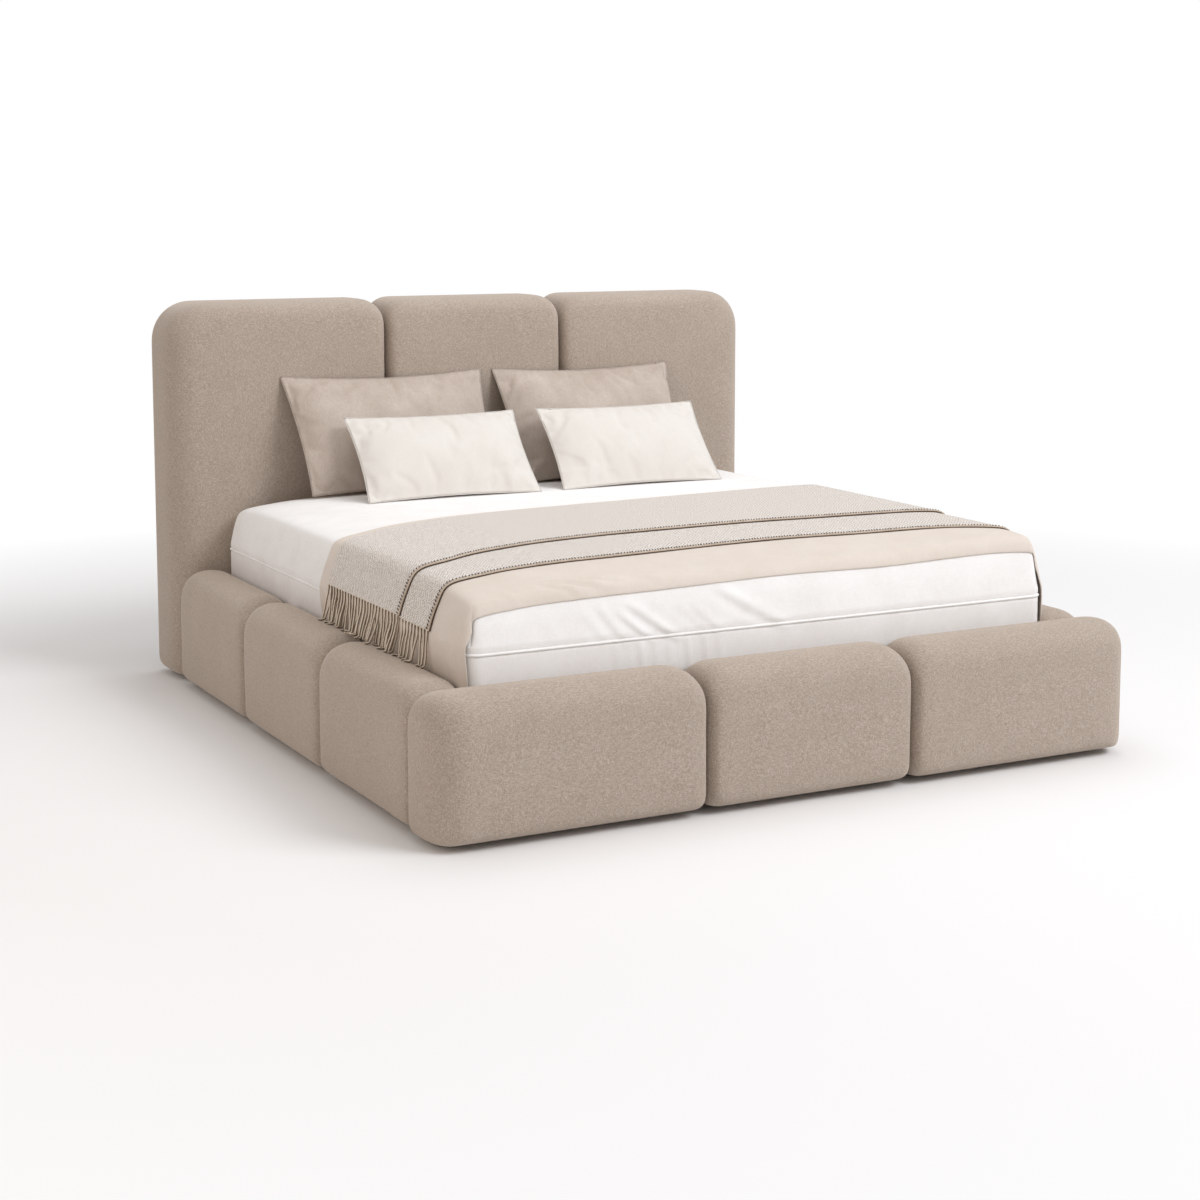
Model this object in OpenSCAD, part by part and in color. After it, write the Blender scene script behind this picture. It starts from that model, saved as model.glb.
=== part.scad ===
// Box spring bed: padded frame and headboard, box spring in two halves, mattress, bedding, pillows.
// Origin: middle of the footprint, on the floor. X to the right, +Y to the headboard, Z up. Millimetres.

/* [Overall] */
// width over the side pads
bed_w = 2144; // [2120:4:2200]
// thickness of the foot end
foot_t = 200; // [170:5:230]
// thickness of the headboard
head_t = 260; // [240:5:280]
// height of the headboard
head_h = 1230; // [1100:10:1400]
// height of the rail pads
rail_h = 380; // [365:1:400]
// gap between the pads and the floor
floor_gap = 12; // [8:1:20]

/* [Mattress] */
// mattress width
mat_w = 1800; // [1780:10:1810]
// mattress length
mat_l = 1900; // [1860:10:2000]
// gap between mattress and side boards
side_gap = 10; // [8:1:16]
// gap at the foot end
foot_gap = 7; // [5:1:16]
// gap at the head end
head_gap = 3; // [1:0.5:6]
// height of the mattress side at its edge, above the box spring
mat_edge = 220; // [200:2:240]
// rise of the crowned top over the edge
mat_crown = 70; // [60:1:74]
// corner radius in plan
mat_r = 42; // [36:1:50]
// height of the piping above the box spring
piping_h = 112; // [90:1:130]
// radius of the piping
piping_r = 3.2; // [2.5:0.1:4]

/* [Boards] */
// board thickness
board_t = 25; // [20:1:30]
// board height above the glides
board_h = 288; // [275:1:290]
// ledger width
ledger_w = 30; // [25:1:40]
// ledger height
ledger_h = 45; // [35:1:55]
// centre beam width and height
beam = 60; // [50:1:70]
// top of ledgers and beam above the floor
deck_z = 125; // [120:1:130]
// height of the box spring
spring_h = 200; // [190:1:205]
// play around parts that sit in a pocket
play = 0.3; // [0.2:0.1:0.5]

/* [Pads] */
// distance of the foot end seams from the middle
seam_x = 315; // [295:5:340]
// distance of the headboard seams from the middle
head_seam_x = 326; // [300:2:345]
// gap between neighbouring pads
pad_gap = 0.6; // [0.4:0.1:1]
// top corner radius of the rail pads
rail_r = 70; // [60:1:76]
// bottom corner radius of the rail pads
rail_rb = 34; // [28:1:44]
// top corner radius of the headboard at its ends
head_r = 128; // [100:1:150]
// top corner radius of the headboard at the seams
head_rs = 76; // [64:1:84]

/* [Headboard] */
// headboard panel thickness
panel_t = 40; // [30:1:45]
// foam around the ends and the foot of the panel
panel_in = 45; // [40:1:60]
// foam over the top of the panel
panel_top_in = 84; // [78:1:100]
// thickness of the stapled back cover
cover_t = 3; // [2:0.5:4]
// mounting block width
block_w = 120; // [100:2:160]
// mounting block height
block_h = 150; // [140:2:180]
// distance of the mounting blocks from the middle
block_x = 600; // [520:5:700]

/* [Hardware] */
// glide diameter
glide_d = 24; // [20:1:25]
// glide pin diameter
pin_d = 5; // [4:0.5:6]
// length of the glide pin
pin_l = 26; // [20:1:35]
// bolt shank diameter
bolt_d = 8; // [6:1:9]
// bolt head diameter
bolt_head_d = 15; // [14:1:17]
// bolt head height
bolt_head_h = 4.5; // [3.5:0.5:6]
// corner bracket leaf length
bracket_l = 60; // [52:1:70]
// corner bracket height
bracket_h = 90; // [80:1:94]
// corner bracket thickness
bracket_t = 4; // [3:0.5:5]
// screw shank diameter
screw_d = 5; // [4:0.5:6]
// screw head diameter
screw_head_d = 10; // [9:0.5:12]
// centre leg diameter
leg_d = 50; // [40:1:55]

/* [Box spring] */
// thickness of the ticking
tick_t = 3; // [2:0.5:4]
// timber rail thickness
rail_t = 20; // [18:1:24]
// timber rail height
rail_hh = 140; // [130:1:143]
// spring wire thickness
wire = 3.8; // [3:0.2:4.4]
// distance between spring rows
spring_pitch = 190; // [170:5:220]
// half wave length of a spring
half_wave = 40; // [34:2:50]
// half width of the wave
wave_a = 26; // [20:1:32]

/* [Bedding] */
// coverlet thickness
cov_t = 3.5; // [2.5:0.5:3.5]
// thickness of one layer of the throw
throw_t = 9; // [6:0.5:11]
// height of the coverlet hem above the floor
hem_z = 345; // [335:1:360]
// height of the throw ends above the floor
throw_z = 455; // [450:1:470]
// length of the fringe
fringe_l = 93; // [70:1:95]
// width of one tassel
tassel_w = 6; // [4:0.5:8]
// distance between tassels
tassel_pitch = 11; // [10:0.5:16]
// foot edge of the throw
throw_foot = -765; // [-770:5:-740]

/* [Pillows] */
// large pillow width
pil_w = 715; // [650:5:730]
// large pillow height
pil_h = 425; // [415:5:435]
// large pillow thickness
pil_t = 150; // [140:2:152]
// cushion width
cus_w = 602; // [570:2:610]
// cushion height
cus_h = 350; // [340:2:354]
// cushion thickness
cus_t = 116; // [104:2:118]

/* [Hidden] */
$fn = 48;
half_w = bed_w / 2;
in_x = mat_w / 2 + side_gap;
side_t = half_w - in_x;
bed_l = foot_t + foot_gap + mat_l + head_gap + head_t;
yf = -bed_l / 2;
yb = bed_l / 2;
yf_in = yf + foot_t;
yh = yb - head_t;
mat_y0 = yf_in + foot_gap;
mat_y1 = mat_y0 + mat_l;
board_z = floor_gap + 2;
board_top = board_z + board_h;
ox = in_x + board_t;
spring_z = deck_z + spring_h;
mat_z = spring_z + 0.5;
edge_z = spring_z + mat_edge;
pipe_z = spring_z + piping_h;
soft = 0.4;
eps = 1;
ends = [-1, 1];

// profiles of the pads: [way through the thickness, inset at a seam, at the top, at the bottom, at a
// free corner]
rail_sec = [
    [0, 12, 38, 0, 12], [0.035, 5, 25, 0, 5], [0.10, 1, 13, 0, 1], [0.24, 0, 4, 0, 0],
    [0.48, 0, 0, 0, 3], [0.68, 1, 6, 2, 13], [0.83, 4, 20, 7, 31], [0.94, 14, 42, 18, 58],
    [0.985, 29, 68, 34, 84], [1, 58, 104, 64, 122]
];
head_sec = [
    [0, 26, 26, 20, 26], [0.04, 14, 14, 10, 14], [0.12, 4, 4, 3, 4], [0.22, 0, 0, 0, 0],
    [0.60, 0, 0, 0, 3], [0.78, 1, 4, 2, 15], [0.90, 7, 14, 9, 37], [0.962, 18, 31, 21, 60],
    [0.99, 36, 54, 40, 84], [1, 68, 92, 74, 122]
];

function arc2(cx, cy, rx, ry, a0, n) =
    [for (k = [0:n]) [cx + rx * cos(a0 + 90 * k / n), cy + ry * sin(a0 + 90 * k / n)]];

// rounded rectangle of one section of a pad; r = radii [bottom left, bottom right, top right, top left],
// free = which ends are free corners
function pad_loop(len, z0, z1, r, s, free) =
    let(il = s[free[0] ? 4 : 1], ir = s[free[1] ? 4 : 1], it = s[2], ib = s[3],
        ie = [il, ir, ir, il],
        rr = [for (k = [0:3]) [r[k] - 0.45 * min(ie[k], 90), r[k] - 0.45 * min(k < 2 ? ib : it, 90)]],
        q = [for (p = rr) [max(p[0], 14), max(p[1], 14)]])
    concat(
        arc2(il + q[0][0], z0 + ib + q[0][1], q[0][0], q[0][1], 180, 3),
        arc2(len - ir - q[1][0], z0 + ib + q[1][1], q[1][0], q[1][1], 270, 3),
        arc2(len - ir - q[2][0], z1 - it - q[2][1], q[2][0], q[2][1], 0, 4),
        arc2(il + q[3][0], z1 - it - q[3][1], q[3][0], q[3][1], 90, 4));

function skin(n, m) = [for (j = [0:m - 2], k = [0:n - 1]) each
    [[j * n + k, (j + 1) * n + (k + 1) % n, (j + 1) * n + k],
     [j * n + k, j * n + (k + 1) % n, (j + 1) * n + (k + 1) % n]]];

// puffed pad: length along X, thickness along +Y, the puffed face at +Y
module pad(len, thick, z0, z1, r, sec, free = [false, false]) {
    loops = [for (s = sec) pad_loop(len, z0, z1, r, s, free)];
    n = len(loops[0]);
    m = len(sec);
    pts = [for (j = [0:m - 1]) for (p = loops[j]) [p[0], sec[j][0] * thick, p[1]]];
    polyhedron(pts, concat([[for (k = [n - 1:-1:0]) k]], skin(n, m),
        [[for (k = [0:n - 1]) (m - 1) * n + k]]));
}

// block from one corner to the other
module box3(a, b) {
    translate(a) cube(b - a);
}

module hole_x(d, x0, x1, y, z) {
    translate([x0, y, z]) rotate([0, 90, 0]) cylinder(d = d, h = x1 - x0);
}

module hole_y(d, y0, y1, x, z) {
    translate([x, y0, z]) rotate([-90, 0, 0]) cylinder(d = d, h = y1 - y0);
}

// Places of the small hardware
bolt_in = bracket_l * 0.58;
bracket_z = board_z + 8;
bolt_zs = [bracket_z + bracket_h * 0.24, bracket_z + bracket_h * 0.76];
ledger_y0 = yf_in + bracket_l + 20;
ledger_y1 = yh - bracket_l - 20;
ledger_screw_y = [for (k = [0:4]) ledger_y0 + 60 + (ledger_y1 - ledger_y0 - 120) * k / 4];
glide_side_y = [yf_in + 130, (yf_in + yh) / 2, yh - 130];
glide_end_x = [-in_x + 130, -seam_x + 60, seam_x - 60, in_x - 130];
hanger_t = 3;
hanger_w = beam / 2 + play + hanger_t;
hanger_screw_x = hanger_w + 11;
hanger_z = deck_z - beam - play - hanger_t;
hanger_screw_z = [deck_z - beam * 0.66, deck_z - beam * 0.3];
head_bolt_z = deck_z - bolt_head_d / 2 - 12;
head_bolt_x = block_w / 2 - 22;
panel_y = yb - cover_t - panel_t;
panel_z0 = floor_gap + panel_in;
block_z = panel_z0 + 8;
leg_y = [-620, 0, 620];

module glide_holes(xs, ys) {
    for (x = xs, y = ys)
        translate([x, y, board_z - eps]) cylinder(d = pin_d + 2 * play, h = pin_l + 2 + eps);
}

// Timber frame of the bed
module side_board(s) {
    difference() {
        box3([s < 0 ? -ox : in_x, yf_in, board_z], [s < 0 ? -in_x : ox, yh, board_top]);
        glide_holes([s * (in_x + board_t / 2)], glide_side_y);
        for (y = [yf_in + bolt_in, yh - bolt_in], z = bolt_zs)
            hole_x(bolt_d + 2 * play, s < 0 ? -ox + 3 : in_x - eps, s < 0 ? -in_x + eps : ox - 3, y, z);
        for (y = ledger_screw_y)
            hole_x(screw_d + 2 * play, s < 0 ? -ox + 3 : in_x - eps, s < 0 ? -in_x + eps : ox - 3,
                y, deck_z - ledger_h / 2);
    }
}

module side_board_left() color("burlywood") side_board(-1);
module side_board_right() color("burlywood") side_board(1);

// cross board with its drilled holes; the inner face is at yi and the outer one at yo
module end_board(yi, yo) {
    y0 = min(yi, yo);
    y1 = max(yi, yo);
    b0 = yi < yo ? yi - eps : yo + 3;
    b1 = yi < yo ? yo - 3 : yi + eps;
    difference() {
        box3([-ox, y0, board_z], [ox, y1, board_top]);
        glide_holes(glide_end_x, [(y0 + y1) / 2]);
        for (s = ends, z = bolt_zs) hole_y(bolt_d + 2 * play, b0, b1, s * (in_x - bolt_in), z);
        for (s = ends, z = hanger_screw_z) hole_y(screw_d + 2 * play, b0, b1, s * hanger_screw_x, z);
        children();
    }
}

module foot_board() color("burlywood") end_board(yf_in, yf_in - board_t);

module head_rail() color("burlywood") end_board(yh, yh + board_t) {
    for (s = ends, t = ends)
        hole_y(bolt_d + 2 * play, yh - eps, yh + board_t + eps, s * block_x + t * head_bolt_x,
            head_bolt_z);
}

module ledger(s) {
    difference() {
        box3([s < 0 ? -in_x : in_x - ledger_w, ledger_y0, deck_z - ledger_h],
            [s < 0 ? -in_x + ledger_w : in_x, ledger_y1, deck_z]);
        for (y = ledger_screw_y)
            hole_x(screw_d + 2 * play, s < 0 ? -in_x - eps : in_x - ledger_w - eps,
                s < 0 ? -in_x + ledger_w + eps : in_x + eps, y, deck_z - ledger_h / 2);
    }
}

module ledger_left() color("wheat") ledger(-1);
module ledger_right() color("wheat") ledger(1);

module screw(l) {
    cylinder(d = screw_d, h = l);
    translate([0, 0, -3]) cylinder(d1 = screw_head_d * 0.7, d2 = screw_head_d, h = 3);
}

module ledger_screws() color("silver") {
    for (s = ends, y = ledger_screw_y)
        translate([s * (in_x - ledger_w), y, deck_z - ledger_h / 2]) rotate([0, s * 90, 0])
            screw(ledger_w + board_t - 5);
}

module corner_brackets() color("gray") {
    for (s = ends, t = ends)
        translate([s * in_x, t < 0 ? yf_in : yh, bracket_z]) difference() {
            linear_extrude(bracket_h) union() {
                translate([s < 0 ? 0 : -bracket_t, t < 0 ? 0 : -bracket_l])
                    square([bracket_t, bracket_l]);
                translate([s < 0 ? 0 : -bracket_l, t < 0 ? 0 : -bracket_t])
                    square([bracket_l, bracket_t]);
            }
            for (z = bolt_zs) {
                hole_x(bolt_d + 1, -bracket_t - eps, bracket_t + eps, -t * bolt_in, z - bracket_z);
                hole_y(bolt_d + 1, -bracket_t - eps, bracket_t + eps, -s * bolt_in, z - bracket_z);
            }
        }
}

// bolt with its head on the -Z side of the origin
module bolt(l, hd = bolt_head_d) {
    cylinder(d = bolt_d, h = l);
    translate([0, 0, -bolt_head_h]) difference() {
        cylinder(d = hd, h = bolt_head_h);
        translate([0, 0, -eps]) cylinder(d = 5, h = bolt_head_h / 2 + eps, $fn = 6);
    }
}

module corner_bolts() color("silver") {
    for (s = ends, t = ends, z = bolt_zs) {
        translate([s * (in_x - bracket_t), t < 0 ? yf_in + bolt_in : yh - bolt_in, z])
            rotate([0, s * 90, 0]) bolt(bracket_t + board_t - 5);
        translate([s * (in_x - bolt_in), t < 0 ? yf_in + bracket_t : yh - bracket_t, z])
            rotate([-t * 90, 0, 0]) bolt(bracket_t + board_t - 5);
    }
}

module centre_beam() color("burlywood") difference() {
    box3([-beam / 2, yf_in + hanger_t + play, deck_z - beam], [beam / 2, yh - hanger_t - play, deck_z]);
    for (y = leg_y) translate([0, y, deck_z - beam - eps]) cylinder(d = 24 + 2 * play, h = 30 + eps);
}

module beam_hangers() color("gray") {
    for (t = ends) {
        y0 = t < 0 ? yf_in : yh;
        difference() {
            union() {
                box3([-hanger_screw_x - 9, min(y0, y0 - t * hanger_t), hanger_z],
                    [hanger_screw_x + 9, max(y0, y0 - t * hanger_t), deck_z - 2]);
                box3([-hanger_w, min(y0, y0 - t * 48), hanger_z],
                    [hanger_w, max(y0, y0 - t * 48), hanger_z + hanger_t]);
                for (s = ends)
                    box3([s < 0 ? -hanger_w : hanger_w - hanger_t, min(y0, y0 - t * 48), hanger_z],
                        [s < 0 ? -hanger_w + hanger_t : hanger_w, max(y0, y0 - t * 48), deck_z - 10]);
            }
            for (s = ends, z = hanger_screw_z)
                hole_y(screw_d + 2 * play, y0 - 2 * hanger_t, y0 + 2 * hanger_t, s * hanger_screw_x, z);
        }
    }
}

module hanger_screws() color("silver") {
    for (t = ends, s = ends, z = hanger_screw_z)
        translate([s * hanger_screw_x, t < 0 ? yf_in + hanger_t : yh - hanger_t, z])
            rotate([-t * 90, 0, 0]) screw(hanger_t + board_t - 5);
}

module centre_legs() color("peru") {
    for (y = leg_y) translate([0, y, 0]) {
        translate([0, 0, 10]) cylinder(d1 = leg_d * 0.8, d2 = leg_d, h = deck_z - beam - 10 - play);
        translate([0, 0, deck_z - beam - 2]) cylinder(d = 24, h = 28);
    }
}

module leg_glides() color("dimgray") {
    for (y = leg_y) translate([0, y, 0]) cylinder(d1 = leg_d * 0.7, d2 = leg_d * 0.8 - 2, h = 10);
}

module glide() {
    cylinder(d1 = glide_d - 4, d2 = glide_d, h = 4);
    translate([0, 0, 4]) cylinder(d = glide_d, h = board_z - 4 - play);
    cylinder(d = pin_d, h = board_z + pin_l);
}

module floor_glides() color("dimgray") {
    for (s = ends, y = glide_side_y) translate([s * (in_x + board_t / 2), y, 0]) glide();
    for (x = glide_end_x, y = [yf_in - board_t / 2, yh + board_t / 2]) translate([x, y, 0]) glide();
}

// Upholstered pads
module rail_pocket(x0, y0, x1, y1) {
    box3([x0 - play, y0 - play, 0], [x1 + play, y1 + play, board_top + play]);
}

side_pad_l = (yh - yf_in) / 3;

module side_pad(s, k) {
    y0 = yf_in + k * side_pad_l + pad_gap / 2;
    len_y = side_pad_l - pad_gap;
    difference() {
        translate([s * in_x, s < 0 ? y0 : y0 + len_y, 0]) rotate([0, 0, -s * 90])
            pad(len_y, side_t, floor_gap, rail_h, [rail_rb, rail_rb, rail_r, rail_r], rail_sec);
        if (s < 0) rail_pocket(-ox, y0 - eps, -in_x + eps, y0 + len_y + eps);
        else rail_pocket(in_x - eps, y0 - eps, ox, y0 + len_y + eps);
    }
}

module side_pad_left_foot() color("tan") side_pad(-1, 0);
module side_pad_left_middle() color("tan") side_pad(-1, 1);
module side_pad_left_head() color("tan") side_pad(-1, 2);
module side_pad_right_foot() color("tan") side_pad(1, 0);
module side_pad_right_middle() color("tan") side_pad(1, 1);
module side_pad_right_head() color("tan") side_pad(1, 2);

module foot_pad(x0, x1, free = [false, false]) {
    difference() {
        translate([x1 - pad_gap / 2, yf_in, 0]) rotate([0, 0, 180])
            pad(x1 - x0 - pad_gap, foot_t, floor_gap, rail_h, [rail_rb, rail_rb, rail_r, rail_r],
                rail_sec, free);
        rail_pocket(-ox, yf_in - board_t, ox, yf_in + eps);
    }
}

module foot_pad_left() color("tan") foot_pad(-half_w - pad_gap / 2, -seam_x, [false, true]);
module foot_pad_middle() color("tan") foot_pad(-seam_x, seam_x);
module foot_pad_right() color("tan") foot_pad(seam_x, half_w + pad_gap / 2, [true, false]);

module head_pad(x0, x1, r, free = [false, false]) {
    difference() {
        translate([x1 - pad_gap / 2, yb - cover_t, 0]) rotate([0, 0, 180])
            pad(x1 - x0 - pad_gap, head_t - cover_t, floor_gap, head_h, r, head_sec, free);
        rail_pocket(-ox, yh - eps, ox, yh + board_t);
        box3([-half_w + panel_in - play, panel_y - play, panel_z0 - play],
            [half_w - panel_in + play, yb + eps, head_h - panel_top_in + play]);
        for (s = ends)
            box3([s * block_x - block_w / 2 - play, yh, block_z - play],
                [s * block_x + block_w / 2 + play, yb, block_z + block_h + play]);
    }
}

module headboard_pad_left() color("tan")
    head_pad(-half_w - pad_gap / 2, -head_seam_x, [rail_rb, rail_rb + 8, head_r, head_rs], [false, true]);
module headboard_pad_middle() color("tan")
    head_pad(-head_seam_x, head_seam_x, [rail_rb, rail_rb, head_rs, head_rs]);
module headboard_pad_right() color("tan")
    head_pad(head_seam_x, half_w + pad_gap / 2, [rail_rb + 8, rail_rb, head_rs, head_r], [true, false]);

module headboard_panel() color("burlywood") difference() {
    translate([0, panel_y + panel_t - play, 0]) rotate([90, 0, 0]) linear_extrude(panel_t - play)
        difference() {
            translate([-half_w + panel_in, panel_z0])
                square([bed_w - 2 * panel_in, head_h - panel_top_in - panel_z0]);
            for (s = ends) translate([s * (half_w - panel_in), head_h - panel_top_in]) rotate(45)
                square(head_r * 0.9, center = true);
        }
    for (s = ends, t = ends)
        hole_y(bolt_d + 2 * play, panel_y - eps, panel_y + panel_t * 0.8, s * block_x + t * head_bolt_x,
            head_bolt_z);
}

module headboard_back_cover() color("dimgray") translate([0, yb, 0]) rotate([90, 0, 0])
    linear_extrude(cover_t - play) difference() {
        translate([-half_w + panel_in - 12, panel_z0 - 12])
            square([bed_w - 2 * panel_in + 24, head_h - panel_top_in - panel_z0 + 24]);
        for (s = ends) translate([s * (half_w - panel_in + 12), head_h - panel_top_in + 12]) rotate(45)
            square(head_r * 1.05, center = true);
    }

module mounting_block(s) {
    difference() {
        box3([s * block_x - block_w / 2, yh + board_t + play, block_z],
            [s * block_x + block_w / 2, panel_y - play, block_z + block_h]);
        for (t = ends)
            hole_y(bolt_d + 2 * play, yh, yb, s * block_x + t * head_bolt_x, head_bolt_z);
    }
}

module mounting_block_left() color("wheat") mounting_block(-1);
module mounting_block_right() color("wheat") mounting_block(1);

module headboard_bolts() color("silver") {
    for (s = ends, t = ends)
        translate([s * block_x + t * head_bolt_x, yh, head_bolt_z]) rotate([-90, 0, 0])
            bolt(panel_y - yh + panel_t * 0.7);
}

// One half of the box spring, from its own corner
half_gap = 1.5;
bs_w = mat_w / 2 - half_gap / 2;
bs_l = mat_l;
bs_in = tick_t + play;
slat_n = 12;
row_n = floor((bs_l - 160) / spring_pitch) + 1;
row_y0 = (bs_l - (row_n - 1) * spring_pitch) / 2;
rail_top = 1.3 + rail_hh;
wire_z = rail_top + 1.8;
clip_z = rail_top + play;
felt_z = wire_z + wire + 2;
felt_t = 6;

module plan(w, l, r) {
    translate([r, 0]) square([w - 2 * r, l]);
    translate([0, r]) square([w, l - 2 * r]);
    for (x = [r, w - r], y = [r, l - r]) translate([x, y]) circle(r);
}

module half(s) {
    translate([s < 0 ? -mat_w / 2 : half_gap / 2, mat_y0, deck_z]) children();
}

module spring_cover() {
    difference() {
        translate([0, 0, 1 + play]) linear_extrude(spring_h - 1 - play) plan(bs_w, bs_l, 22);
        translate([tick_t, tick_t, -eps]) linear_extrude(spring_h - tick_t + eps)
            plan(bs_w - 2 * tick_t, bs_l - 2 * tick_t, 19);
    }
}

module spring_frame() {
    translate([bs_in, bs_in, 1.3]) linear_extrude(rail_hh) difference() {
        plan(bs_w - 2 * bs_in, bs_l - 2 * bs_in, 18);
        translate([rail_t, rail_t]) square([bs_w - 2 * bs_in - 2 * rail_t, bs_l - 2 * bs_in - 2 * rail_t]);
    }
    for (k = [0:slat_n - 1]) {
        y = bs_in + 60 + (bs_l - 2 * bs_in - 190) * k / (slat_n - 1);
        box3([bs_in + rail_t - eps, y, 1.3], [bs_w - bs_in - rail_t + eps, y + 70, 19.3]);
    }
}

// centre line of a zig-zag spring, one rounded half wave after another
span0 = bs_in + 12;
span1 = bs_w - bs_in - 12;
waves = floor((span1 - span0) / half_wave);
wave_x0 = (span0 + span1 - waves * half_wave) / 2;
function wave_mid() = concat([[span0, -13], [span0, 0]],
    [for (k = [0:waves - 1], a = [35, 90, 145])
        [wave_x0 + (k + 0.5 - 0.42 * cos(a)) * half_wave, (k % 2 == 0 ? 1 : -1) * wave_a * sin(a)]],
    [[span1, 0], [span1, 13]]);
function side_of(p, d) = [for (k = [0:len(p) - 1])
    let(a = p[max(k - 1, 0)], b = p[min(k + 1, len(p) - 1)], t = (b - a) / norm(b - a))
    p[k] + d * [-t[1], t[0]]];

module wave_spring_rows() {
    c = wave_mid();
    far = side_of(c, -wire / 2);
    outline = concat(side_of(c, wire / 2), [for (k = [len(far) - 1:-1:0]) far[k]]);
    for (k = [0:row_n - 1]) translate([0, row_y0 + k * spring_pitch, wire_z])
        linear_extrude(wire) polygon(outline);
}

// clip section: a C around the wire, open to the middle
module clip_pair(y) {
    for (e = ends)
        translate([e < 0 ? span0 : span1, y + (e < 0 ? 2 : -17), clip_z]) rotate([90, 0, 0])
            translate([0, 0, -15]) linear_extrude(15) scale([-e, 1]) polygon([[-9, 0], [5, 0], [5, 1.2],
                [-4, 1.2], [-4, wire + 1.9], [5, wire + 1.9], [5, wire + 3.1], [-9, wire + 3.1]]);
}

module clips() {
    for (k = [0:row_n - 1]) clip_pair(row_y0 + k * spring_pitch - 15);
}

module felt() {
    translate([bs_in, bs_in, felt_z]) linear_extrude(felt_t)
        plan(bs_w - 2 * bs_in, bs_l - 2 * bs_in, 18);
}

module topper() {
    translate([bs_in, bs_in, felt_z + felt_t]) linear_extrude(spring_h - tick_t - play - felt_z - felt_t)
        plan(bs_w - 2 * bs_in, bs_l - 2 * bs_in, 18);
}

module dust() {
    linear_extrude(1) plan(bs_w, bs_l, 22);
}

module box_spring_frame_left() color("wheat") half(-1) spring_frame();
module box_spring_frame_right() color("wheat") half(1) spring_frame();
module wave_springs_left() color("silver") half(-1) wave_spring_rows();
module wave_springs_right() color("silver") half(1) wave_spring_rows();
module spring_clips_left() color("white") half(-1) clips();
module spring_clips_right() color("white") half(1) clips();
module felt_pad_left() color("gray") half(-1) felt();
module felt_pad_right() color("gray") half(1) felt();
module topper_foam_left() color("lemonchiffon") half(-1) topper();
module topper_foam_right() color("lemonchiffon") half(1) topper();
module box_spring_cover_left() color("whitesmoke") half(-1) spring_cover();
module box_spring_cover_right() color("whitesmoke") half(1) spring_cover();
module dust_cover_left() color("dimgray") half(-1) dust();
module dust_cover_right() color("dimgray") half(1) dust();

// Mattress: a grid of stations measured in from the edges; the top rises from the edge as a soft roll
inset = [0, 3, 12, 28, 60, 130, 200];
roll = [[0, 0], [3, 0.24], [12, 0.56], [28, 0.80], [60, 0.93], [130, 0.98], [200, 1], [5000, 1]];
ni = len(inset);
ng = 2 * ni;
function in_of(i) = i < ni ? inset[i] : inset[ng - 1 - i];
function side_s(i) = i < ni ? -1 : 1;

// plan position of a station: square corners are drawn onto the corner radius
function plan_xy(ex, ey, sx, sy) =
    let(a = mat_r - ex, b = mat_r - ey, m = max(a, b), k = (a > 0 && b > 0) ? m / norm([a, b]) : 1)
    [sx * (mat_w / 2 - mat_r + a * k), (sy < 0 ? mat_y0 + mat_r - b * k : mat_y1 - mat_r + b * k)];
function top_z(ex, ey) = edge_z + mat_crown * lookup(ex, roll) * lookup(ey, roll);
function grid_pt(i, j) =
    let(p = plan_xy(in_of(i), in_of(j), side_s(i), side_s(j))) [p[0], p[1], top_z(in_of(i), in_of(j))];

// the border of the grid, once around, counter-clockwise from above
rim = concat([for (i = [0:ng - 2]) [i, 0]], [for (j = [0:ng - 2]) [ng - 1, j]],
    [for (i = [ng - 1:-1:1]) [i, ng - 1]], [for (j = [ng - 1:-1:1]) [0, j]]);
nr = len(rim);

// way out from the mattress at a border station
function out_dir(ij) =
    let(a = mat_r - in_of(ij[0]), b = mat_r - in_of(ij[1]))
    (a > 0 && b > 0) ? [side_s(ij[0]) * a, side_s(ij[1]) * b] / norm([a, b])
    : (in_of(ij[0]) == 0 ? [side_s(ij[0]), 0] : [0, side_s(ij[1])]);
function rim_pt(ij, out, z) =
    let(p = grid_pt(ij[0], ij[1]), d = out_dir(ij)) [p[0] + out * d[0], p[1] + out * d[1], z];

// side of the mattress from the top down: [way out, height]
mat_side = [
    [0, edge_z - 52], [0, pipe_z + 7], [-5, pipe_z], [0, pipe_z - 7], [-1, mat_z + 30], [-7, mat_z + 6],
    [-16, mat_z]
];

module mattress_body() {
    g0 = ng * ng;
    top = [for (j = [0:ng - 1], i = [0:ng - 1]) grid_pt(i, j)];
    walls = [for (s = mat_side, ij = rim) rim_pt(ij, s[0], s[1])];
    m = len(mat_side);
    faces = concat(
        [for (j = [0:ng - 2], i = [0:ng - 2]) each
            [[j * ng + i, (j + 1) * ng + i + 1, j * ng + i + 1],
             [j * ng + i, (j + 1) * ng + i, (j + 1) * ng + i + 1]]],
        [for (k = [0:nr - 1]) let(a = rim[k], b = rim[(k + 1) % nr], p = a[1] * ng + a[0],
                q = b[1] * ng + b[0]) each
            [[p, q, g0 + k], [q, g0 + (k + 1) % nr, g0 + k]]],
        [for (s = [0:m - 2], k = [0:nr - 1]) let(p = g0 + s * nr + k, q = g0 + s * nr + (k + 1) % nr) each
            [[p, q, p + nr], [q, q + nr, p + nr]]],
        [[for (k = [0:nr - 1]) g0 + (m - 1) * nr + k]]);
    polyhedron(concat(top, walls), faces);
}

core_in = 16;

module core_shape(d) {
    translate([-mat_w / 2 + core_in - d, mat_y0 + core_in - d, mat_z + 12 - d])
        linear_extrude(edge_z - mat_z - 16 + 2 * d)
            plan(mat_w - 2 * core_in + 2 * d, mat_l - 2 * core_in + 2 * d, mat_r);
}

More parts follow.
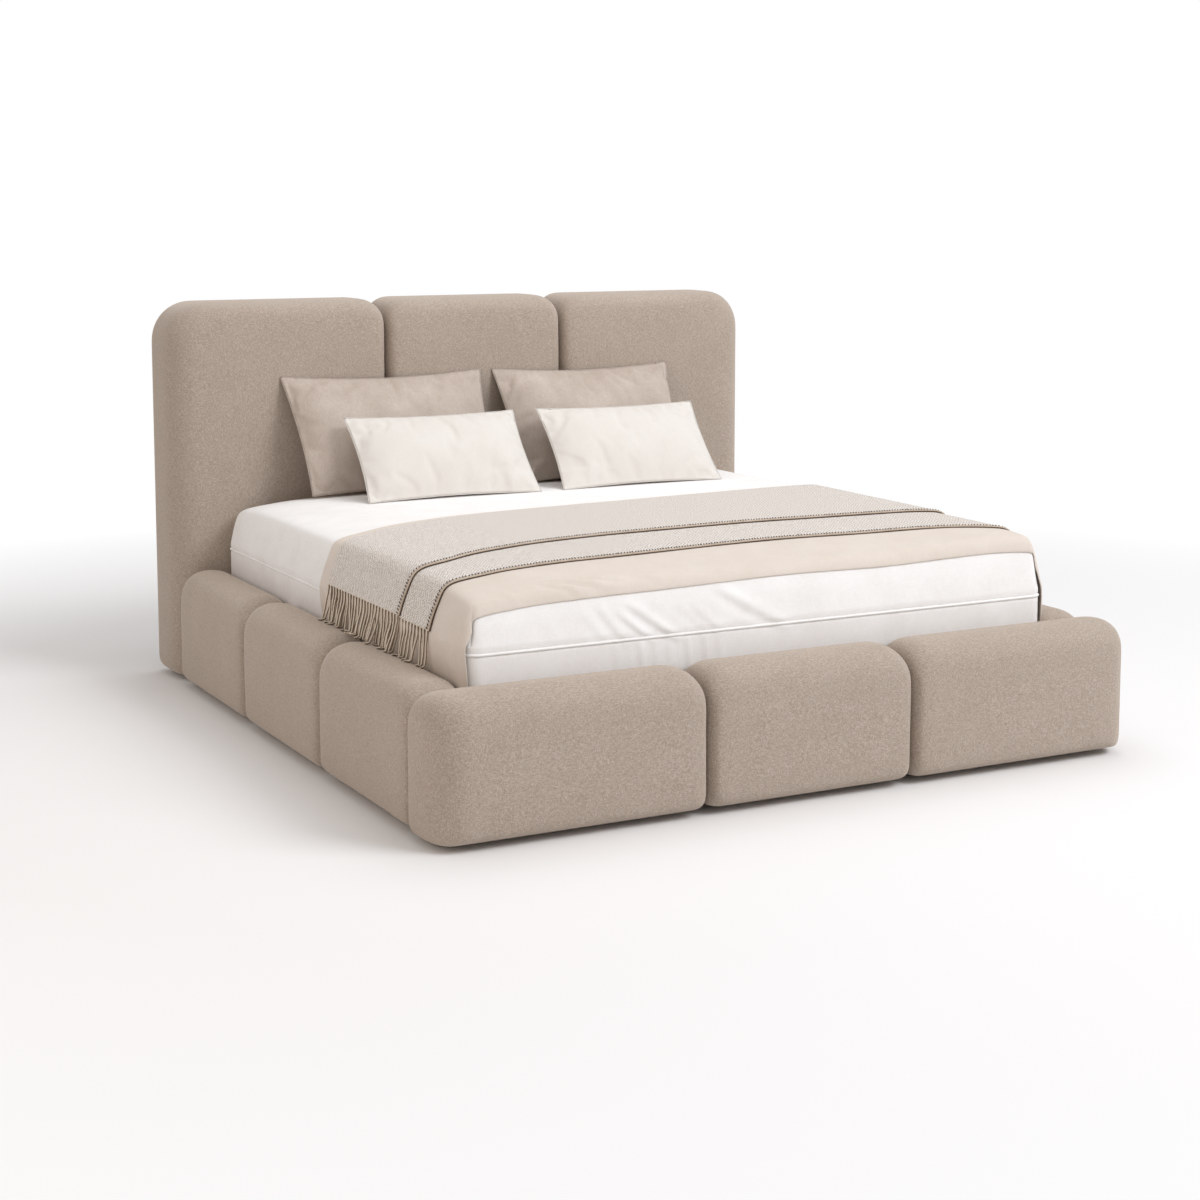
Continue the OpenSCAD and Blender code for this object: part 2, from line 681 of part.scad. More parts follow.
module mattress_core() color("lightyellow") core_shape(0);

module mattress_cover() color("white") difference() {
    mattress_body();
    core_shape(play);
}

module mattress_piping() color("snow") {
    nc = 6;
    pts = [for (k = [0:nc - 1], ij = rim)
        rim_pt(ij, -0.8 + piping_r * cos(360 * k / nc), pipe_z + piping_r * sin(360 * k / nc))];
    polyhedron(pts, [for (k = [0:nc - 1], c = [0:nr - 1])
        let(k2 = (k + 1) % nc, c2 = (c + 1) % nr) each
        [[k * nr + c, k2 * nr + c2, k * nr + c2], [k * nr + c, k2 * nr + c, k2 * nr + c2]]]);
}

// Bedding: stations across the bed, from the left hem over the top to the right hem
mid_x = [-300, 0, 300];
nx = ng + len(mid_x);
side_z = [hem_z, throw_z, edge_z - 47];
flare = [3.2, 3.2, 1];

function col_ex(c) = c < ni ? inset[c] : c < nx - ni ? mat_w / 2 : inset[nx - 1 - c];
function cloth_pt(c, ey, sy) =
    c < 0 ? let(p = cloth_pt(0, ey, sy), d = cloth_out(-1, ey, sy), k = 3 + c)
        [p[0] + flare[k] * d[0], p[1] + flare[k] * d[1], side_z[k]]
    : c >= nx ? let(p = cloth_pt(nx - 1, ey, sy), d = cloth_out(1, ey, sy), k = nx + 2 - c)
        [p[0] + flare[k] * d[0], p[1] + flare[k] * d[1], side_z[k]]
    : (c >= ni && c < nx - ni) ? [mid_x[c - ni], plan_xy(900, ey, 1, sy)[1], top_z(900, ey)]
    : let(p = plan_xy(col_ex(c), ey, c < ni ? -1 : 1, sy)) [p[0], p[1], top_z(col_ex(c), ey)];
function cloth_out(s, ey, sy) =
    let(b = mat_r - ey) b > 0 ? [s * mat_r, sy * b] / norm([mat_r, b]) : [s, 0];
function cloth_n(c, ey, sy) =
    (c < 0 || c >= nx) ? let(d = cloth_out(c < 0 ? -1 : 1, ey, sy)) [d[0], d[1], 0]
    : let(u = cloth_pt(c + 1, ey, sy) - cloth_pt(c - 1, ey, sy),
          v = cloth_pt(c, ey + (ey < 200 ? 4 : 0), sy) - cloth_pt(c, ey - 4, sy),
          n = cross(u, ey > 200 ? [0, 1, 0] : -sy * v)) n / norm(n);

// closed sheet from two grids of points, rows of n points each
module sheet(low, high, n, m) {
    g0 = n * m;
    faces = concat(
        [for (j = [0:m - 2], i = [0:n - 2]) each
            [[g0 + j * n + i, g0 + (j + 1) * n + i + 1, g0 + j * n + i + 1],
             [g0 + j * n + i, g0 + (j + 1) * n + i, g0 + (j + 1) * n + i + 1],
             [j * n + i, j * n + i + 1, (j + 1) * n + i + 1],
             [j * n + i, (j + 1) * n + i + 1, (j + 1) * n + i]]],
        [for (i = [0:n - 2]) each
            [[i, g0 + i, g0 + i + 1], [i, g0 + i + 1, i + 1],
             [(m - 1) * n + i, g0 + (m - 1) * n + i + 1, g0 + (m - 1) * n + i],
             [(m - 1) * n + i, (m - 1) * n + i + 1, g0 + (m - 1) * n + i + 1]]],
        [for (j = [0:m - 2]) each
            [[j * n, (j + 1) * n, g0 + (j + 1) * n], [j * n, g0 + (j + 1) * n, g0 + j * n],
             [j * n + n - 1, g0 + (j + 1) * n + n - 1, (j + 1) * n + n - 1],
             [j * n + n - 1, g0 + j * n + n - 1, g0 + (j + 1) * n + n - 1]]]);
    polyhedron(concat(low, high), faces);
}

// head edge of the bedding, and the foot edge of the upper layer of the throw
function head_edge(x) = lookup(x, [[-920, -22], [-860, -22], [-640, 80], [-300, 165], [300, 150], [920, 110]]);
function fold_edge(x) = lookup(x, [[-920, -573], [-700, -568], [-300, -495], [640, -480], [920, -515]]);

cols = [for (c = [-3:nx + 2]) c];
throw_cols = [for (c = [-2:nx + 1]) c];
cov_rows = [3, 12, 28, 60, 130, 200];

// point of the bedding at column c, moved out by d; y given where the top is straight along Y
function row_pt(c, ey, d) = cloth_pt(c, ey, -1) + d * cloth_n(c, ey, -1);
function y_pt(c, y, d) = let(p = row_pt(c, 300, d)) [p[0], y, p[2]];

module coverlet() color("bisque") {
    low = concat([for (ey = cov_rows, c = cols) row_pt(c, ey, soft)],
        [for (c = cols) let(x = cloth_pt(c, 300, -1)[0]) y_pt(c, head_edge(x) + 34, soft)]);
    high = concat([for (ey = cov_rows, c = cols) row_pt(c, ey, soft + cov_t)],
        [for (c = cols) let(x = cloth_pt(c, 300, -1)[0]) y_pt(c, head_edge(x) + 34, soft + cov_t)]);
    sheet(low, high, len(cols), len(cov_rows) + 1);
}

function base_y(x, k) = k < 2 ? throw_foot : k < 4 ? fold_edge(x) : head_edge(x);

// the throw as one folded cloth: a single layer to the foot, two layers from the fold edge to the head
module throw_blanket() color("tan") {
    d0 = 2 * soft + cov_t;
    rows = [[0, 0.35], [5, 1], [-4, 1], [2, 1.95], [-7, 2], [0, 1.1]];
    low = [for (k = [0:5], c = throw_cols) let(x = cloth_pt(c, 300, -1)[0])
        y_pt(c, base_y(x, k) + rows[k][0], d0)];
    high = [for (k = [0:5], c = throw_cols) let(x = cloth_pt(c, 300, -1)[0])
        y_pt(c, base_y(x, k) + rows[k][0], d0 + throw_t * rows[k][1])];
    sheet(low, high, len(throw_cols), 6);
}

fringe_y0 = throw_foot + 6;
fringe_y1 = head_edge(-920) - 8;
tassels = floor((fringe_y1 - fringe_y0) / tassel_pitch);

module fringe_comb() {
    pts = concat([[fringe_y0 + tassels * tassel_pitch, 8], [fringe_y0, 8]],
        [for (k = [0:tassels - 1], q = [[0, 0], [0, 1], [1, 1], [1, 0]])
            [fringe_y0 + k * tassel_pitch + tassel_w * q[0] + (q[1] == 1 ? 1.5 : 0),
             -(q[1] == 1 ? fringe_l - 8 - 9 * ((k * 7) % 5) / 5 : 0)]],
        [[fringe_y0 + tassels * tassel_pitch, 0]]);
    polygon(pts);
}

module throw_fringe() color("rosybrown") {
    x_out = mat_w / 2 + flare[1] + 2 * soft + cov_t + 1;
    for (s = ends) translate([s < 0 ? -x_out - 3 : x_out, 0, throw_z - 8 - soft])
        rotate([90, 0, 90]) linear_extrude(3) fringe_comb();
}

// Pillows: two bulged faces on a common seam with drawn-in sides and pointed corners
pil_nu = 12;
pil_nv = 8;
function seam_pt(w, h, p, q) = [w / 2 * p * (1 - 0.055 * (1 - q * q) * p * p),
    h / 2 * (1 + q * (1 - 0.06 * (1 - p * p) * q * q))];
function bulge(t, p, q) = t / 2 * pow(max((1 - p * p) * (1 - q * q), 0), 0.44);
function even(k, n) = let(a = 2 * k / n - 1) a * (1.5 - 0.5 * a * a);
function pillow_top(w, h, t) = [for (j = [0:pil_nv], i = [0:pil_nu])
    let(p = even(i, pil_nu), q = even(j, pil_nv), s = seam_pt(w, h, p, q)) [s[0], s[1], bulge(t, p, q)]];

module pillow(w, h, t) {
    nu = pil_nu;
    nv = pil_nv;
    n = nu + 1;
    top = pillow_top(w, h, t);
    inner = [for (j = [1:nv - 1], i = [1:nu - 1]) let(p = top[j * n + i]) [p[0], p[1], -p[2]]];
    b0 = n * (nv + 1);
    function under(i, j) = (i == 0 || j == 0 || i == nu || j == nv) ? j * n + i
        : b0 + (j - 1) * (nu - 1) + i - 1;
    faces = [for (j = [0:nv - 1], i = [0:nu - 1]) each
        ((i < nu / 2) == (j < nv / 2)
        ? [[j * n + i, (j + 1) * n + i + 1, j * n + i + 1],
           [j * n + i, (j + 1) * n + i, (j + 1) * n + i + 1],
           [under(i, j), under(i + 1, j), under(i + 1, j + 1)],
           [under(i, j), under(i + 1, j + 1), under(i, j + 1)]]
        : [[j * n + i, (j + 1) * n + i, j * n + i + 1],
           [(j + 1) * n + i, (j + 1) * n + i + 1, j * n + i + 1],
           [under(i, j), under(i + 1, j), under(i, j + 1)],
           [under(i + 1, j), under(i + 1, j + 1), under(i, j + 1)]])];
    polyhedron(concat(top, inner), faces);
}

// lowest point and rearmost point of a pillow that leans back by the angle a
function low_of(w, h, t, a) =
    min([for (p = pillow_top(w, h, t)) p[1] * cos(a) - abs(p[2]) * sin(a)]);
function rear_of(w, h, t, a) =
    max([for (p = pillow_top(w, h, t)) p[1] * sin(a) + abs(p[2]) * cos(a)]);

// middle section of a pillow as [height, y], on its front (side 1) or its back (side -1)
function mid_line(w, h, t, a, side) = [for (j = [0:pil_nv])
    let(q = even(j, pil_nv), v = seam_pt(w, h, 0, q)[1], b = side * bulge(t, 0, q))
    [v * cos(a) + b * sin(a), v * sin(a) - b * cos(a)]];

top_level = edge_z + mat_crown;
pil_lean = 31;
cus_lean = 45;
pil_y = yh - soft - rear_of(pil_w, pil_h, pil_t, pil_lean);
pil_z = soft - low_of(pil_w, pil_h, pil_t, pil_lean);
cus_z = soft - low_of(cus_w, cus_h, cus_t, cus_lean);
pil_front = mid_line(pil_w, pil_h, pil_t, pil_lean, 1);
cus_back = mid_line(cus_w, cus_h, cus_t, cus_lean, -1);
// the cushions lie back until they touch the pillows
cus_y = pil_y - soft + min([for (z = [cus_h * 0.2:2:cus_h * cos(cus_lean) - 2])
    lookup(z - pil_z, pil_front) - lookup(z - cus_z, cus_back)]);

// pillow at x, its lower seam at y, lying on the mattress and leaning back by the angle a
module lean(x, y, z, w, h, t, a) {
    translate([x, y, top_level + z]) rotate([90 - a, 0, 0]) pillow(w, h, t);
}

module pillow_left() color("tan") lean(-360, pil_y, pil_z, pil_w, pil_h, pil_t, pil_lean);
module pillow_right() color("tan") lean(376, pil_y, pil_z, pil_w, pil_h, pil_t, pil_lean);
module cushion_left() color("ivory") lean(-282, cus_y + 0.9, cus_z, cus_w, cus_h, cus_t, cus_lean);
module cushion_right() color("ivory") lean(404, cus_y, cus_z, cus_w, cus_h, cus_t, cus_lean);

headboard_panel();
headboard_back_cover();
headboard_pad_left();
headboard_pad_middle();
headboard_pad_right();
mounting_block_left();
mounting_block_right();
headboard_bolts();
side_board_left();
side_board_right();
foot_board();
head_rail();
side_pad_left_foot();
side_pad_left_middle();
side_pad_left_head();
side_pad_right_foot();
side_pad_right_middle();
side_pad_right_head();
foot_pad_left();
foot_pad_middle();
foot_pad_right();
ledger_left();
ledger_right();
ledger_screws();
corner_brackets();
corner_bolts();
centre_beam();
beam_hangers();
hanger_screws();
centre_legs();
leg_glides();
floor_glides();
box_spring_frame_left();
box_spring_frame_right();
wave_springs_left();
wave_springs_right();
spring_clips_left();
spring_clips_right();
felt_pad_left();
felt_pad_right();
topper_foam_left();
topper_foam_right();
box_spring_cover_left();
box_spring_cover_right();
dust_cover_left();
dust_cover_right();
mattress_core();
mattress_cover();
mattress_piping();
coverlet();
throw_blanket();
throw_fringe();
pillow_left();
pillow_right();
cushion_left();
cushion_right();
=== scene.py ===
import bpy, bmesh, math, random, re
from mathutils import Vector, Matrix, noise


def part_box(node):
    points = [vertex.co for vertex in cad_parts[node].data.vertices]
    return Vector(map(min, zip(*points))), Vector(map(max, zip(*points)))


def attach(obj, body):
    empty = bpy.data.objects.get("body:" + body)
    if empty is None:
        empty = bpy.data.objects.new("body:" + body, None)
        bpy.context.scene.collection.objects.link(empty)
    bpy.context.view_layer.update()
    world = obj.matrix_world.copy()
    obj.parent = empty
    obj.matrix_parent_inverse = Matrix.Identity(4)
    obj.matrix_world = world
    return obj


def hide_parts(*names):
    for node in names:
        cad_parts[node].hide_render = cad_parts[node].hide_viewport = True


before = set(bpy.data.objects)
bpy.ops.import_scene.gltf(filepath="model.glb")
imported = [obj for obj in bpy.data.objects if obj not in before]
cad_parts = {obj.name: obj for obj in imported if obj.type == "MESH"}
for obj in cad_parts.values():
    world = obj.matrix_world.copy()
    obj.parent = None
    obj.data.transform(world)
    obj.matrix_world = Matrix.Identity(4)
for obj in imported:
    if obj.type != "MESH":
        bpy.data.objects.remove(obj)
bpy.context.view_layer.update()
scene = bpy.context.scene
MM = 0.001

# ---------------------------------------------------------------- sizes, in metres, as in the CAD model
HALF_W = 1.072          # outside of the side pads
BACK_Y = 1.185          # back of the headboard
FOOT_IN = -0.985        # inner face of the foot board
HEAD_Y = 0.925          # front of the headboard
SIDE_IN = 0.910         # inner face of the side boards
BOARD_OUT = 0.935       # outer face of the side boards
BOARD_T = 0.025
BOARD_TOP = 0.302
FLOOR_GAP = 0.012
RAIL_H = 0.380
HEAD_H = 1.230
FOOT_T = 0.200
SIDE_T = HALF_W - SIDE_IN
COVER_T = 0.003         # back cover of the headboard
HEAD_T = 0.260 - COVER_T
SEAM_X = 0.315          # seams between the foot pads
HEAD_SEAM_X = 0.326     # seams between the headboard pads
PAD_GAP = 0.0006
MAT_W, MAT_R = 0.900, 0.042             # half width and corner radius of the mattress
MAT_Y0, MAT_Y1 = -0.978, 0.922
MAT_MID, MAT_HALF = (MAT_Y0 + MAT_Y1) / 2, (MAT_Y1 - MAT_Y0) / 2
MAT_Z, EDGE_Z, CROWN = 0.3255, 0.456, 0.159     # underside, lower end of the rim, rise of the top over it
PIPE_Z = 0.437
NUDGE = 1e-6            # two places nearer than this are the same

# ---------------------------------------------------------------- small tools


def srgb(code):
    """sRGB hex colour as linear red, green, blue, alpha"""
    c = [int(code[k:k + 2], 16) / 255 for k in (1, 3, 5)]
    return [x / 12.92 if x <= 0.04045 else ((x + 0.055) / 1.055) ** 2.4 for x in c] + [1.0]


def node(tree, kind, *inputs, stops=(), **settings):
    """adds a node and gives its first output, if it has one; inputs in the node's own order and settings by
    name are linked where they are sockets and set where they are values; stops are a ramp's places and
    colours"""
    n = tree.nodes.new("ShaderNode" + kind)
    for key, value in [*settings.items(), *enumerate(inputs)]:
        if isinstance(key, str) and hasattr(n, key):
            setattr(n, key, value)
            continue
        entry = n.inputs[key.replace("_", " ") if isinstance(key, str) else key]
        if isinstance(value, bpy.types.NodeSocket):
            tree.links.new(value, entry)
        else:
            entry.default_value = value
    if stops:
        marks = n.color_ramp.elements
        while len(marks) < len(stops):
            marks.new(0.5)
        for mark, (place, colour) in zip(marks, stops):
            mark.position, mark.color = place, srgb(colour)
    return n.outputs[0] if n.outputs else None


def sign(x):
    return 1 if x > 0 else -1


def smooth(x):
    """0 to 1 with soft ends"""
    x = min(max(x, 0.0), 1.0)
    return x * x * (3 - 2 * x)


def lookup(x, table):
    """the table's line at x, level beyond its ends"""
    if x <= table[0][0]:
        return table[0][1]
    for (x0, y0), (x1, y1) in zip(table, table[1:]):
        if x <= x1:
            return y0 + (y1 - y0) * (x - x0) / (x1 - x0)
    return table[-1][1]


def flowing(x, table):
    """the table's line drawn as a smooth curve that never overshoots its points"""
    if x <= table[0][0] or x >= table[-1][0]:
        return lookup(x, table)
    slopes = [(b[1] - a[1]) / (b[0] - a[0]) for a, b in zip(table, table[1:])]
    k = next(i for i in range(len(slopes)) if x <= table[i + 1][0])

    def tangent(i):
        if i == 0 or i == len(slopes):
            return slopes[min(i, len(slopes) - 1)]
        a, b = slopes[i - 1], slopes[i]
        return 2 * a * b / (a + b) if a * b > 0 else 0.0

    (x0, y0), (x1, y1) = table[k], table[k + 1]
    h = x1 - x0
    t = (x - x0) / h
    from_left = y0 * (1 + 2 * t) + tangent(k) * h * t
    from_right = y1 * (3 - 2 * t) - tangent(k + 1) * h * (1 - t)
    return from_left * (1 - t) ** 2 + from_right * t * t


def soft_lookup(x, table):
    """the table's line with its bends rounded off over 160 mm"""
    return sum(lookup(x + d, table) for d in (-0.08, -0.04, 0, 0.04, 0.08)) / 5


def add_object(name, data):
    ob = bpy.data.objects.new(name, data)
    scene.collection.objects.link(ob)
    return ob


def finish_mesh(name, bm, sharp=50):
    """bmesh to an object at the origin, smooth except where its faces meet sharply"""
    bm.normal_update()
    for f in bm.faces:
        f.smooth = True
    for e in bm.edges:
        e.smooth = not (len(e.link_faces) == 2 and e.calc_face_angle(0) > math.radians(sharp))
    mesh = bpy.data.meshes.new(name)
    bm.to_mesh(mesh)
    bm.free()
    return add_object(name, mesh)


def apply_modifiers(ob):
    graph = bpy.context.evaluated_depsgraph_get()
    mesh = bpy.data.meshes.new_from_object(ob.evaluated_get(graph))
    old = ob.data
    ob.modifiers.clear()
    ob.data = mesh
    mesh.name = ob.name
    bpy.data.meshes.remove(old)


def soften(ob):
    """one level of subdivision surface, applied after the modifiers that the object already has"""
    mod = ob.modifiers.new("soft", "SUBSURF")
    mod.levels = mod.render_levels = 1
    apply_modifiers(ob)


def thicken(ob, thickness, offset):
    """gives a sheet its thickness: outside it at offset 1, on both sides at 0, inside at -1"""
    mod = ob.modifiers.new("cloth", "SOLIDIFY")
    mod.thickness, mod.offset = thickness, offset


def dress(ob, finish, body, *nodes, slot=None):
    """gives a piece its finish and body, and the CAD nodes that it stands for; where a node has taken the
    piece's name, the piece gets a word more; slot is not used"""
    ob.data.materials.clear()
    ob.data.materials.append(MATERIALS[finish])
    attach(ob, body)
    if nodes:
        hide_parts(*nodes)
        if re.search(r"\.\d+$", ob.name):
            ob.name = ob.data.name = re.sub(r"\.\d+$", "", ob.name) + "_dressed"
    return ob


def shell(na, nb, face_point, rings, ring_point):
    """closed form: a grid for its face, whose border is drawn out ring by ring and closed at the end"""
    bm = bmesh.new()
    bmesh.ops.create_grid(bm, x_segments=na, y_segments=nb, size=1)
    place = bm.verts.layers.float_vector.new("square")
    for v in bm.verts:
        a, b = v.co.x, v.co.y
        v[place] = (a, b, 0)
        v.co = face_point(a, b)
    edge = [e for e in bm.edges if e.is_boundary]
    for k in range(rings):
        new = bmesh.ops.extrude_edge_only(bm, edges=edge)["geom"]
        edge = [g for g in new if isinstance(g, bmesh.types.BMEdge) and g.is_boundary]
        for v in [g for g in new if isinstance(g, bmesh.types.BMVert)]:
            v.co = ring_point(k, v[place][0], v[place][1])
    bmesh.ops.recalc_face_normals(bm, faces=bm.faces)
    return bm


def subdivided(name, bm):
    """one level of subdivision surface, then the open end is closed; gives a bmesh"""
    ob = finish_mesh(name, bm, 180)
    soften(ob)
    bm = bmesh.new()
    bm.from_mesh(ob.data)
    bpy.data.objects.remove(ob)
    bmesh.ops.holes_fill(bm, edges=[e for e in bm.edges if e.is_boundary], sides=0)
    bmesh.ops.recalc_face_normals(bm, faces=bm.faces)
    return bm


def block(lo, hi):
    """a box between two corners, as a bmesh"""
    bm = bmesh.new()
    matrix = Matrix.Translation((lo + hi) / 2) @ Matrix.Diagonal((*(hi - lo), 1))
    bmesh.ops.create_cube(bm, size=1, matrix=matrix)
    return bm


def level_edges(bm, z):
    """the edges that lie at a height"""
    return [e for e in bm.edges if all(abs(v.co.z - z) < NUDGE for v in e.verts)]


def round_off(bm, edges, width, segments):
    bmesh.ops.bevel(bm, geom=edges, offset=width, segments=segments, profile=0.5, affect="EDGES", material=-1)


def slice_at(bm, at, way):
    """cuts the faces along a plane, so that they can bend there"""
    bmesh.ops.bisect_plane(bm, geom=bm.verts[:] + bm.edges[:] + bm.faces[:], plane_co=at, plane_no=way)


def cut_boxes(ob, boxes):
    """takes the pockets for the timber out of a pad; a third entry cuts the upper corners of a pocket off"""
    cutters = []
    for lo, hi, *corner in boxes:
        lo, hi = Vector(lo), Vector(hi)
        bm = block(lo, hi)
        if corner:
            edges = [e for e in level_edges(bm, hi.z) if abs(e.verts[0].co.x - e.verts[1].co.x) < NUDGE]
            round_off(bm, edges, corner[0], 1)
        cutters.append(finish_mesh("cutter", bm))
        mod = ob.modifiers.new("pocket", "BOOLEAN")
        mod.object, mod.operation, mod.solver = cutters[-1], "DIFFERENCE", "MANIFOLD"
    apply_modifiers(ob)
    for cutter in cutters:
        bpy.data.objects.remove(cutter)


# ---------------------------------------------------------------- materials


def new_material(name):
    mat = bpy.data.materials.new(name)
    mat.use_nodes = True
    mat.node_tree.nodes.clear()
    return mat, mat.node_tree


def grain(tree, size, detail=3.0, rough=0.55, squeeze=(1, 1, 1)):
    """uneven tone in lumps of about that size in metres, drawn out where squeeze is under 1"""
    place = node(tree, "Mapping", node(tree, "TexCoord").node.outputs["Object"], Scale=squeeze)
    return node(tree, "TexNoise", place, Scale=1 / size, Detail=detail, Roughness=rough)


def weighted(tree, *parts):
    """sum of tones, each times its weight"""
    shares = [node(tree, "Math", tone, weight, operation="MULTIPLY") for tone, weight in parts]
    total = shares[0]
    for share in shares[1:]:
        total = node(tree, "Math", total, share, operation="ADD")
    return total


def surface(mat, tone, stops, height, relief, rough, strength=1.0, tint="#FFFFFF", **principled):
    """ends a material: its colours along the tone, its relief in metres along the height, and its shader"""
    tree = mat.node_tree
    colour = node(tree, "ValToRGB", tone, stops=stops)
    normal = node(tree, "Bump", Height=height, Distance=relief, Strength=strength)
    shader = node(tree, "BsdfPrincipled", Base_Color=colour, Normal=normal, Roughness=rough,
                  Sheen_Tint=srgb(tint), **principled)
    node(tree, "OutputMaterial", shader)
    return mat


# the threads of all these cloths are under 1 mm; they are drawn about 2 mm wide, as coarse as they need to be
# to show in the render
def upholstery():
    """brushed chenille weave: short soft pile over slubby warp and weft, darker in the pits"""
    mat, tree = new_material("Woven chenille, brushed")
    warp = grain(tree, 2.0 * MM, 0.5, squeeze=(1, 1, 0.3))
    weft = grain(tree, 2.0 * MM, 0.5, squeeze=(0.3, 0.3, 1))
    fleck = grain(tree, 1.9 * MM, 0.5)
    nap = grain(tree, 110 * MM)
    weave = weighted(tree, (warp, 0.35), (weft, 0.35), (fleck, 0.30))
    return surface(mat, weighted(tree, (weave, 0.93), (nap, 0.07)),
                   [(0.36, "#97887B"), (0.5, "#A89A8D"), (0.64, "#BAACA1")], weave, 0.9 * MM, 0.92, 0.85,
                   "#F2E6DA", Sheen_Weight=0.42, Sheen_Roughness=0.5, Specular_IOR_Level=0.15)


def cloth(name, colours, thread, rough=0.85, sheen=0.2, tint="#FFFFFF", relief=0.4):
    """plain woven cloth: warp and weft threads of that pitch, and a faint broad tone from wear"""
    mat, tree = new_material(name)
    warp = grain(tree, thread, 2.0, squeeze=(1, 0.12, 0.12))
    weft = grain(tree, thread, 2.0, squeeze=(0.12, 1, 1))
    weave = weighted(tree, (warp, 0.5), (weft, 0.5))
    return surface(mat, weighted(tree, (weave, 0.6), (grain(tree, 90 * MM), 0.4)),
                   list(zip((0.33, 0.5, 0.67), colours)), weave, relief * MM, rough, tint=tint,
                   Sheen_Weight=sheen, Sheen_Roughness=0.45, Specular_IOR_Level=0.25)


def herringbone():
    """woollen twill in herringbone bands that run over the bed with the cloth, fuzzy and flecked"""
    band, rib, slant = 44 * MM, 13 * MM, 1.8        # the twill is drawn three times as wide as it is woven
    mat, tree = new_material("Wool throw, herringbone twill")
    x, y, z = node(tree, "SeparateXYZ", node(tree, "TexCoord").node.outputs["Object"]).node.outputs[:3]
    over = node(tree, "Math", node(tree, "Math", x, operation="ABSOLUTE"), z, operation="SUBTRACT")
    saw = node(tree, "Math", node(tree, "Math", over, 1 / band, operation="MULTIPLY"), operation="FRACT")
    zigzag = node(tree, "Math", node(tree, "Math", saw, 2, operation="MULTIPLY"), 1, operation="SUBTRACT")
    zigzag = node(tree, "Math", zigzag, operation="ABSOLUTE")
    ribs = weighted(tree, (y, 1 / rib), (zigzag, slant))
    wave = node(tree, "Math", node(tree, "Math", ribs, 2 * math.pi, operation="MULTIPLY"), operation="SINE")
    twill = node(tree, "Math", wave, 0.5, 0.5, operation="MULTIPLY_ADD")
    fuzz = grain(tree, 2.8 * MM, 1.0, squeeze=(1, 0.5, 1))
    tone = weighted(tree, (twill, 0.22), (fuzz, 0.78))
    return surface(mat, tone, [(0.32, "#A5988D"), (0.5, "#CEC6BE"), (0.68, "#EAE5E0")], tone, 1.2 * MM,
                   0.93, 0.8, "#F4EEE8", Sheen_Weight=0.35, Sheen_Roughness=0.5, Specular_IOR_Level=0.2)


def yarn_painted_by_facing():
    """thick plied wool whose colour follows the way its surface faces: painted light along the top of each
    end and painted shade, deep brown, down its flanks
    """
    mat, tree = new_material("Wool yarn, plied")
    normal = node(tree, "NewGeometry").node.outputs["Normal"]
    x, _, z = node(tree, "SeparateXYZ", normal).node.outputs[:3]
    # painted light and shade: the more the surface faces outwards or up, the lighter it is coloured
    painted_light_mask = node(tree, "Math", node(tree, "Math", x, operation="ABSOLUTE"), z, operation="MAXIMUM")
    ply = grain(tree, 3.0 * MM, 2.0, squeeze=(1, 1, 0.5))
    return surface(mat, weighted(tree, (painted_light_mask, 0.72), (ply, 0.28)),
                   [(0.22, "#6E6053"), (0.52, "#C2B29F"), (0.78, "#E2D6C6")], ply, 0.6 * MM, 0.95,
                   tint="#E8DCCB", Sheen_Weight=0.25, Sheen_Roughness=0.5, Specular_IOR_Level=0.15)


def timber(name, colours, along, rough=0.62):
    """sawn wood: long grain along the board, with growth-ring bands and fine pores"""
    mat, tree = new_material(name)
    squeeze = tuple(0.06 if axis == along else 1.0 for axis in "xyz")
    rings = grain(tree, 11 * MM, 4.0, 0.6, squeeze)
    pores = grain(tree, 1.6 * MM, 2.0, squeeze=squeeze)
    return surface(mat, weighted(tree, (rings, 0.75), (pores, 0.25)), list(zip((0.35, 0.5, 0.66), colours)),
                   pores, 0.3 * MM, rough, 0.6, Specular_IOR_Level=0.35)


def hard(name, colours, rough, metallic=1.0, relief=0.05):
    """metal or plastic: an even finish with a faint cloudy tone and a fine orange peel"""
    mat, tree = new_material(name)
    return surface(mat, grain(tree, 8 * MM), list(zip((0.3, 0.7), colours)), grain(tree, 1.5 * MM),
                   relief * MM, rough, Metallic=metallic)


